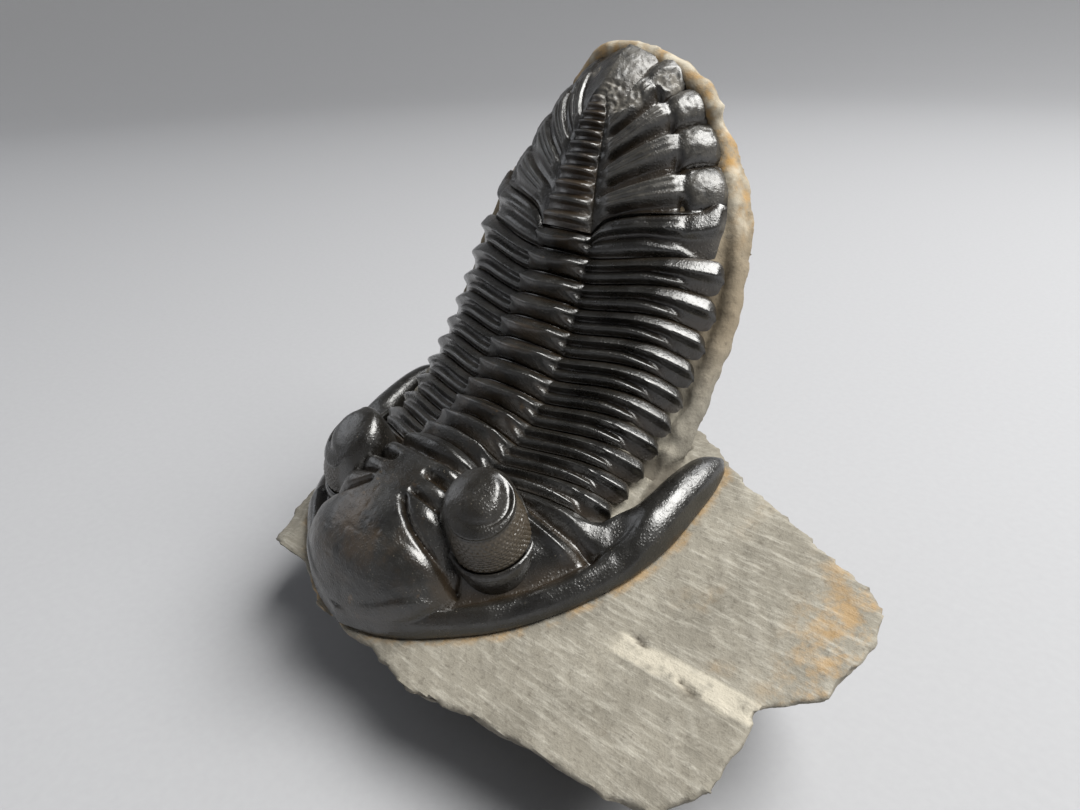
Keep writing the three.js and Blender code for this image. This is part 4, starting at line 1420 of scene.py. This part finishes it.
@dataclass(frozen=True)
class FossilFinish:
    """Dark calcite with a waxy gloss, brown in its hollows. Scales are in cycles a metre."""

    dark: Colour = (0.0055, 0.0050, 0.0042)
    grey: Colour = (0.0160, 0.0148, 0.0122)
    brown: Colour = (0.048, 0.030, 0.014)
    lens_brown: Colour = (0.040, 0.029, 0.016)
    # Pale colour of wear and dust; on the eye's lip it is also a painted highlight.
    worn: Colour = (0.135, 0.122, 0.100)
    tan: Colour = (0.22, 0.13, 0.05)
    speck: Colour = (0.16, 0.14, 0.11)
    cloud_scale: float = 160
    fine_scale: float = 1300
    brown_scale: float = 230
    tan_scale: float = 420
    worn_scale: float = 900
    speck_scale: float = 2300
    speck_group_scale: float = 500
    patch_scale: float = 330
    grit_scale: float = 4800
    stipple_scale: float = 3000
    gloss: float = 0.85
    coat: float = 0.35
    coat_roughness: float = 0.18
    bump_distance: float = 0.00013
    bump_strength: float = 0.5

    def make(self) -> bpy.types.Material:
        """Builds the material.

        Returns:
            The finish for every plate.
        """
        shader = Shader(Slot.FOSSIL.value)
        clouds = shader.noise(self.cloud_scale, 5, 0.6)
        fine = shader.noise(self.fine_scale, 4, 0.65)
        relief, bulb, worn, lens = (shader.stored(name) for name in ("relief", "bulb", "worn", "lens"))
        base = shader.mix(clouds.clamp(0.35, 0.72), self.dark, self.grey)
        hollow = (1 - relief.clamp(-0.75, 0.10)) * clouds.clamp(0.25, 0.6)
        base = shader.mix(hollow * 0.55, base, self.brown)
        brown = bulb * shader.noise(self.brown_scale, 5, 0.6).clamp(0.45, 0.62)
        base = shader.mix(brown * 0.80, base, self.brown)
        base = shader.mix(lens * 0.9, base, self.lens_brown)
        tan = bulb * shader.noise(self.tan_scale, 4, 0.7).clamp(0.64, 0.72)
        base = shader.mix(tan * 0.6, base, self.tan)
        # Pale wear and dust, and on the eye's lip a painted highlight.
        base = shader.mix(worn * shader.noise(self.worn_scale, 4, 0.7).clamp(0.3, 0.6), base, self.worn)
        specks = 1 - shader.cells(self.speck_scale).clamp(0.10, 0.20)
        specks = specks * shader.noise(self.speck_group_scale, 2).clamp(0.55, 0.63)
        base = shader.mix(specks * 0.6, base, self.speck)
        shader.feed(shader.main.inputs["Base Color"], base)
        patches = shader.noise(self.patch_scale, 3).clamp(0.40, 0.66)
        rough = 0.18 + 0.14 * fine + 0.18 * patches + 0.40 * worn + 0.10 * lens + 0.10 * bulb
        shader.feed(shader.main.inputs["Roughness"], rough)
        shader.feed(shader.main.inputs["Specular IOR Level"], self.gloss)
        shader.feed(shader.main.inputs["Coat Weight"], self.coat)
        shader.feed(shader.main.inputs["Coat Roughness"], self.coat_roughness)
        grit = shader.noise(self.grit_scale, 3, 0.6)
        stipple = (1 - shader.cells(self.stipple_scale).clamp(0.05, 0.50)) * (0.35 + patches)
        shader.bump(0.55 * fine + 0.30 * grit + 0.60 * stipple, self.bump_distance, self.bump_strength)
        return shader.material


@dataclass(frozen=True)
class LimestoneFinish:
    """Grey-tan limestone with scrape marks, a pale vein and ochre stains. Scales are in cycles a metre."""

    grey: Colour = (0.185, 0.170, 0.138)
    pale: Colour = (0.285, 0.263, 0.216)
    warm: Colour = (0.235, 0.188, 0.125)
    shade: Colour = (0.065, 0.052, 0.037)
    ochre: Colour = (0.43, 0.245, 0.070)
    cream: Colour = (0.50, 0.46, 0.375)
    scratch: Colour = (0.50, 0.475, 0.41)
    cloud_scale: float = 110
    grain_scale: float = 1500
    streak_scales: tuple[float, float, float] = (230, 1900, 500)
    streak_turn: float = 0.78
    cream_scale: float = 600
    ochre_scale: float = 420
    grit_scale: float = 5000
    gloss: float = 0.40
    bump_distance: float = 0.00018
    bump_strength: float = 0.85

    def make(self) -> bpy.types.Material:
        """Builds the material.

        Returns:
            The finish for the rock.
        """
        shader = Shader(Slot.ROCK.value)
        clouds = shader.noise(self.cloud_scale, 6, 0.62)
        grain = shader.noise(self.grain_scale, 4, 0.65)
        streaks = shader.noise(1, 5, 0.65, shader.stretched(self.streak_scales, self.streak_turn))
        scraped = shader.stored("scraped")
        base = shader.mix(clouds.clamp(0.35, 0.68), self.grey, self.pale)
        base = shader.mix(shader.stored("warm") * 0.8, base, self.warm)
        base = shader.mix(grain.clamp(0.52, 0.74) * 0.50, base, self.shade)
        marks = streaks.clamp(0.50, 0.70) * scraped * 0.45 + shader.stored("streak") * 0.22
        base = shader.mix(marks, base, self.scratch)
        cream = shader.stored("cream") * shader.noise(self.cream_scale, 4, 0.6).clamp(0.28, 0.5)
        base = shader.mix(cream * 0.85, base, self.cream)
        stain = shader.stored("stain") * shader.noise(self.ochre_scale, 5, 0.68).clamp(0.42, 0.62)
        base = shader.mix(stain * 0.70, base, self.ochre)
        base = shader.mix(shader.stored("dark") * 0.85, base, self.shade)
        shader.feed(shader.main.inputs["Base Color"], base)
        shader.feed(shader.main.inputs["Roughness"], 0.90 - 0.25 * streaks.clamp(0.45, 0.7) * scraped)
        shader.feed(shader.main.inputs["Specular IOR Level"], self.gloss)
        height = 0.6 * grain + 0.55 * streaks * scraped + 0.3 * shader.noise(self.grit_scale, 2)
        shader.bump(height, self.bump_distance, self.bump_strength)
        return shader.material


@dataclass(frozen=True)
class Rock:
    """The block of limestone: a scraped slab, a pillar behind the body, a ragged rim and a flat foot.

    Places on the slab are given in the head's coordinates (x, t).
    """

    floor: float = -25.0
    voxel: float = 0.44
    smoothings: int = 8
    smooth_factor: float = 0.5
    rim_line: tuple = ((-8.8, 53.6, -6.3), (-6.6, 55.9, -5.9), (-4.9, 57.4, -5.2), (-2.4, 57.9, -4.9),
                       (0.3, 57.6, -4.9), (3.2, 57.2, -5.2), (5.9, 56.7, -5.9), (8.8, 54.9, -6.4),
                       (11.8, 52.0, -7.2))
    rim_radius: float = 1.5
    rim_beads: int = 60
    rim_wander: Grain = Grain(3.0, 0.35, 90, 1)
    bed_beads: int = 90
    bed_radius: float = 1.35
    bed_depth: float = 2.1
    bed_from: float = 0.4
    bed_inset: float = 0.1
    bed_drop_share: float = 0.79
    tail_bed_depth: float = 1.1
    tail_bed_to: float = 3.2
    scraped_lean: Ease = Ease(0.80, 0.97)
    scraped_level: Ease = Ease(-3.2, -0.9)
    slab_top: float = 1.2
    rear_lean: Ease = Ease(0.0, 0.5)
    foot: Ease = Ease(0.4, 2.5)
    pillar_calm: Ease = Ease(2, 14, 0.58)
    chunks: Grain = Grain(6.0, 0.50, 5)
    facets: Grain = Grain(3.6, 0.70, 29, 2)
    splinters: Grain = Grain(1.9, 0.30, 9)
    broken_level: float = 0.02
    slab_waves: Grain = Grain(3.0, 0.05, 15)
    scratch_stretch: tuple[float, float, float] = (0.09, 0.75, 0.1)
    scratches: tuple[Grain, Grain] = (Grain(0.45, 1.0, 17, 1), Grain(0.21, 0.6, 18, 1))
    scratch_depth: float = 0.055
    vein_place: tuple[float, float] = (36, 14.9)
    vein_slope: float = 0.03
    vein_wander: Grain = Grain(2.6, 0.35, 21)
    vein_edge: Ease = Ease(1.45, 1.05)
    vein_from: Ease = Ease(27.3, 29.0)
    vein_height: float = 0.05
    chips: tuple = ((30.5, 15.9, 1.1, 0.35), (37.3, 14.0, 0.9, 0.35), (36.2, 14.4, 0.5, 0.25))
    chip_slope: float = 0.25
    chip_depth: float = 0.45
    blotches: Grain = Grain(5.0, 1.0, 25)
    speckles: Grain = Grain(1.5, 1.0, 26)
    head_stain: Ease = Ease(1.3, 0.2, 0.75)
    head_stain_raggedness: float = 0.7
    head_stain_level: Ease = Ease(-3, 0)
    corner_stain: Ease = Ease(43, 50, 0.7)
    corner_lean: float = 0.12
    corner_raggedness: float = 2.5
    corner_from: Ease = Ease(14, 18)
    patch_stain: Ease = Ease(0.3, 0.8, 0.4)
    patch_from: Ease = Ease(26, 34)
    rim_level: Ease = Ease(20, 31)
    rim_raggedness: float = 4.0
    rim_rear_loss: float = 0.7
    rim_stain: Ease = Ease(-0.5, 0.25)
    rim_cream: Ease = Ease(0.3, -0.5)
    pillar_warmth: Ease = Ease(4.0, 14.0)
    hollow_shade: Ease = Ease(-0.05, -0.5, 0.7)
    streak: Ease = Ease(0.15, 1.0)

    def beads(self) -> list[tuple[np.ndarray, float]]:
        """Places and radii of the stone beads in the ragged rim and under the ends of the plates.

        Returns:
            Centres in millimetres, each with its radius.
        """
        steps = np.linspace(0, len(self.rim_line) - 1, self.rim_beads)
        rim = BACK.place(*(curve(list(enumerate(column)), steps) for column in zip(*self.rim_line)))
        rim = rim + np.stack([self.rim_wander.at(rim, axis) for axis in range(3)], -1)
        joints = np.linspace(self.bed_from, SEGMENTS, self.bed_beads)
        s = joints * PITCH
        depth = table(BACK.side_drop, s) * self.bed_drop_share + self.bed_depth
        thorax = (table(BACK.half_width, s) - self.bed_inset, s + table(BACK.tip_sweep, joints), depth)
        plate = Pygidium()
        k = np.linspace(0, self.tail_bed_to, self.bed_beads // 2)
        depth = curve(plate.drop, k) + self.tail_bed_depth
        tail = (curve(plate.margin_x, k), curve(plate.margin_s, k), depth)
        beads = [(place, self.rim_radius) for place in rim]
        for x, s, depth in (thorax, tail):
            for sign in (-1, 1):
                beads += [(place, self.bed_radius) for place in BACK.place(sign * x, s, -depth)]
        return beads

    def core(self) -> tuple[np.ndarray, np.ndarray, list]:
        """Joins the CAD rock and the beads, remeshes them finely and smooths them.

        Returns:
            Points in millimetres, their normals, and the faces.
        """
        copy = bpy.data.objects.new("rock_work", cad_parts["matrix"].data.copy())
        bpy.context.scene.collection.objects.link(copy)
        work = bmesh.new()
        work.from_mesh(copy.data)
        for place, radius in self.beads():
            matrix = Matrix.Translation(Vector((place - PART_ORIGIN) * MM))
            bmesh.ops.create_icosphere(work, subdivisions=2, radius=radius * MM, matrix=matrix)
        work.to_mesh(copy.data)
        work.free()
        remesh = copy.modifiers.new("remesh", "REMESH")
        remesh.mode = "VOXEL"
        remesh.voxel_size = self.voxel * MM * 1
        smooth = copy.modifiers.new("smooth", "SMOOTH")
        smooth.factor = self.smooth_factor
        smooth.iterations = self.smoothings
        shown = copy.evaluated_get(bpy.context.evaluated_depsgraph_get())
        mesh = shown.to_mesh()
        points = np.zeros(len(mesh.vertices) * 3)
        mesh.vertices.foreach_get("co", points)
        normals = np.zeros(len(mesh.vertices) * 3)
        mesh.vertices.foreach_get("normal", normals)
        faces = [list(p.vertices) for p in mesh.polygons]
        shown.to_mesh_clear()
        bpy.data.objects.remove(copy)
        return points.reshape(-1, 3) / MM + PART_ORIGIN, normals.reshape(-1, 3), faces

    def broken(self, points: np.ndarray, rear: np.ndarray) -> np.ndarray:
        """Relief of broken stone, calmer on the front of the pillar and none at the foot.

        Args:
            points: Places in millimetres.
            rear: 1 where the surface faces back.

        Returns:
            Heights in millimetres.
        """
        relief = self.chunks.at(points) - np.abs(self.facets.at(points)) + self.splinters.at(points)
        calm = self.pillar_calm.at(points[:, 2]) * (1 - rear)
        return (relief + self.broken_level) * self.foot.at(points[:, 2] - self.floor) * (1 - calm)

    def scrape_marks(self, points: np.ndarray, head: np.ndarray) -> np.ndarray:
        """Parallel scratches that cross the slab at an angle, from about -1 to 1.

        Args:
            points: Places in millimetres.
            head: The same places in head coordinates.

        Returns:
            Their heights.
        """
        x, t = head[:, 0], head[:, 1]
        along = np.stack([x - t, x + t, points[:, 2]], -1) * self.scratch_stretch
        return sum(scratch.at(along) for scratch in self.scratches)

    def vein(self, points: np.ndarray, head: np.ndarray) -> np.ndarray:
        """Where the pale vein crosses the slab, from 0 to 1.

        Args:
            points: Places in millimetres.
            head: The same places in head coordinates.

        Returns:
            The vein's share.
        """
        wander = self.vein_wander.at(points)
        offset = head[:, 1] - self.vein_place[1] - self.vein_slope * (head[:, 0] - self.vein_place[0])
        return self.vein_edge.at(np.abs(offset + wander)) * self.vein_from.at(head[:, 0] + wander)

    def chip_marks(self, head: np.ndarray) -> np.ndarray:
        """Where the three small chips lie, from 0 to 1.

        Args:
            head: Head coordinates.

        Returns:
            The chips' share.
        """
        marks = np.zeros(len(head))
        for chip_x, chip_t, long, short in self.chips:
            x, t = head[:, 0] - chip_x, head[:, 1] - chip_t
            reach = (x / long) ** 2 + ((t + self.chip_slope * x) / short) ** 2
            marks = np.maximum(marks, np.exp(-reach**1.5))
        return marks

    def slab_stain(self, head: np.ndarray, scraped: np.ndarray, blotches: np.ndarray,
                   speckles: np.ndarray) -> np.ndarray:
        """Ochre stain round the head, on the slab's far corner and in patches.

        Args:
            head: Head coordinates.
            scraped: Where the slab is scraped.
            blotches: Broad noise.
            speckles: Fine noise.

        Returns:
            Values from 0 to 1.
        """
        x, t, n = head.T
        gap = distance_to_line(Cephalon().margin, np.abs(x), t)
        seam = self.head_stain.at(gap + self.head_stain_raggedness * speckles) * self.head_stain_level.at(n)
        corner = self.corner_stain.at(x + self.corner_lean * t + self.corner_raggedness * blotches)
        patches = self.patch_stain.at(blotches) * self.patch_from.at(x)
        return np.maximum.reduce([seam, corner * self.corner_from.at(t) * scraped, patches * scraped])

    def build(self) -> Piece:
        """Roughens the broken sides, scrapes the slab's top and stores where each colour goes.

        Returns:
            The rock.
        """
        points, normals, faces = self.core()
        head = HEAD_PLANE.locate(points)
        upward = normals @ np.array([0, -math.sin(HEAD_PLANE.tilt), math.cos(HEAD_PLANE.tilt)])
        scraped = self.scraped_lean.at(upward) * self.scraped_level.at(head[:, 2])
        scraped = scraped * (head[:, 2] < self.slab_top)
        rear = self.rear_lean.at(normals[:, 1])
        scratches = self.scrape_marks(points, head)
        vein = self.vein(points, head) * scraped
        chips = self.chip_marks(head)
        on_slab = self.slab_waves.at(points) + self.scratch_depth * scratches - self.chip_depth * chips
        move = self.broken(points, rear) * (1 - scraped) + on_slab * scraped + self.vein_height * vein
        points = points + normals * move[:, None]
        points[:, 2] = np.maximum(points[:, 2], self.floor)
        blotches, speckles = self.blotches.at(points), self.speckles.at(points)
        high = self.rim_level.at(points[:, 2] + self.rim_raggedness * blotches)
        high = high * (1 - self.rim_rear_loss * rear)
        slab_stain = self.slab_stain(head, scraped, blotches, speckles)
        values = {
            "scraped": scraped,
            "cream": np.clip(high * self.rim_cream.at(speckles) + vein, 0, 1),
            "stain": np.maximum(slab_stain, high * self.rim_stain.at(speckles)),
            "dark": np.clip((1 - scraped) * self.hollow_shade.at(move) + chips, 0, 1),
            "warm": self.pillar_warmth.at(points[:, 2]) * (1 - scraped),
            "streak": scraped * self.streak.at(scratches),
        }
        return Piece("limestone_block", points, faces, values)


@dataclass(frozen=True)
class SoftLight:
    """One soft square light, with its place and edge length in metres and its power in watts."""

    name: str
    place: tuple[float, float, float]
    size: float
    power: float
    colour: Colour

    def hang(self, aim: tuple[float, float, float]) -> None:
        """Adds the light and turns it towards a point in metres.

        Args:
            aim: The point.
        """
        data = bpy.data.lights.new(self.name, "AREA")
        data.size = self.size
        data.energy = self.power
        data.color = self.colour
        thing = bpy.data.objects.new(self.name, data)
        thing.location = self.place
        thing.rotation_euler = (Vector(aim) - Vector(self.place)).to_track_quat("-Z", "Y").to_euler()
        bpy.context.scene.collection.objects.link(thing)


@dataclass(frozen=True)
class Studio:
    """Floor, light and camera. Sizes of the floor and the lights are in metres."""

    camera_place: tuple[float, float, float] = (64.26, -54.06, 50.2)
    azimuth: float = math.radians(42.1)
    elevation: float = math.radians(27.6)
    roll: float = math.radians(-1.6)
    focal_pixels: float = 811.0
    image_width: float = 1080.0
    sensor: float = 36.0
    nearest: float = 0.002
    farthest: float = 20.0
    floor_flat: float = 0.55
    floor_middle: float = 0.3
    floor_bend: float = 0.45
    wall_height: float = 1.1
    floor_sides: int = 72
    bend_steps: int = 14
    floor_colours: tuple[Colour, Colour] = ((0.335, 0.338, 0.352), (0.365, 0.368, 0.382))
    floor_scale: float = 900
    floor_roughness: float = 0.9
    target: tuple[float, float, float] = (0.0, 0.0, 0.03)
    lights: tuple[SoftLight, ...] = (
        SoftLight("window", (0.31, 0.19, 0.60), 0.50, 10.4, (1.0, 0.99, 0.96)),
        SoftLight("back", (0.05, 0.50, 0.50), 0.30, 1.0, (0.97, 0.98, 1.0)),
        SoftLight("left", (-0.50, -0.15, 0.30), 0.35, 0.4, (0.92, 0.95, 1.0)),
    )
    room_colour: Colour = (0.74, 0.76, 0.79)
    room_light: float = 0.14

    def camera(self) -> None:
        """Sets the camera where the photograph was taken."""
        data = bpy.data.cameras.new("camera")
        data.sensor_width = self.sensor
        data.lens = self.sensor * self.focal_pixels / self.image_width
        data.clip_start = self.nearest
        data.clip_end = self.farthest
        thing = bpy.data.objects.new("camera", data)
        back = Vector((math.sin(self.azimuth) * math.cos(self.elevation),
                       -math.cos(self.azimuth) * math.cos(self.elevation), math.sin(self.elevation)))
        level = Vector((math.cos(self.azimuth), math.sin(self.azimuth), 0))
        upright = back.cross(level)
        right = level * math.cos(self.roll) + upright * math.sin(self.roll)
        up = upright * math.cos(self.roll) - level * math.sin(self.roll)
        place = Vector((np.array(self.camera_place) - PART_ORIGIN) * MM)
        thing.matrix_world = Matrix.Translation(place) @ Matrix((right, up, back)).transposed().to_4x4()
        bpy.context.scene.collection.objects.link(thing)
        bpy.context.scene.camera = thing

    def floor(self) -> None:
        """Lays a pale round floor that curves up into a wall on every side."""
        turn = np.linspace(0, math.pi / 2, self.bend_steps)
        bend_radii = self.floor_flat + self.floor_bend * np.sin(turn)
        radii = np.concatenate([[0, self.floor_middle], bend_radii, bend_radii[-1:]])
        rises = np.concatenate([[0, 0], self.floor_bend * (1 - np.cos(turn)), [self.wall_height]])
        points, faces = [], []
        for radius, rise in zip(radii, rises):
            for i in range(self.floor_sides):
                angle = 2 * math.pi * i / self.floor_sides
                points.append((radius * math.cos(angle), radius * math.sin(angle), rise))
        for ring in range(len(radii) - 1):
            for i in range(self.floor_sides):
                a, b = (ring * self.floor_sides + side % self.floor_sides for side in (i, i + 1))
                faces.append((a, b, b + self.floor_sides, a + self.floor_sides))
        mesh = bpy.data.meshes.new("floor")
        mesh.from_pydata(points, [], faces)
        mesh.validate()
        mesh.polygons.foreach_set("use_smooth", [True] * len(mesh.polygons))
        shader = Shader("pale_floor")
        shader.feed(shader.main.inputs["Base Color"],
                    shader.mix(shader.noise(self.floor_scale, 3), *self.floor_colours))
        shader.feed(shader.main.inputs["Roughness"], self.floor_roughness)
        mesh.materials.append(shader.material)
        thing = bpy.data.objects.new("floor", mesh)
        bpy.context.scene.collection.objects.link(thing)

    def build(self) -> None:
        """Sets up the whole studio."""
        self.camera()
        self.floor()
        for light in self.lights:
            light.hang(self.target)
        world = bpy.data.worlds.new("soft_room")
        world.use_nodes = True
        background = world.node_tree.nodes["Background"]
        background.inputs["Color"].default_value = (*self.room_colour, 1)
        background.inputs["Strength"].default_value = self.room_light
        bpy.context.scene.world = world
        bpy.context.scene.view_settings.view_transform = "Standard"


def main() -> None:
    """Builds the fossil, its rock and the studio in order."""
    logging.basicConfig(level=logging.INFO, format="%(message)s")
    fossil = FossilFinish().make()
    limestone = LimestoneFinish().make()
    work = [(Cephalon().build(), Slot.FOSSIL, fossil, ("cephalon",))]
    work += [(Eye(side).build(), Slot.FOSSIL, fossil, ()) for side in Side]
    for number in range(1, SEGMENTS + 1):
        plate = ThoracicPlate(number).build()
        work.append((plate, Slot.FOSSIL, fossil, (f"thoracic_segment_{number:02d}",)))
    work.append((Pygidium().build(), Slot.FOSSIL, fossil, ("pygidium",)))
    work.append((Rock().build(), Slot.ROCK, limestone, ("matrix",)))
    for piece, slot, finish, nodes in work:
        thing = piece.make(slot, finish, nodes)
        log.info("%s: %d faces", thing.name, len(piece.faces))
    Studio().build()


if __name__ == "__main__":
    main()
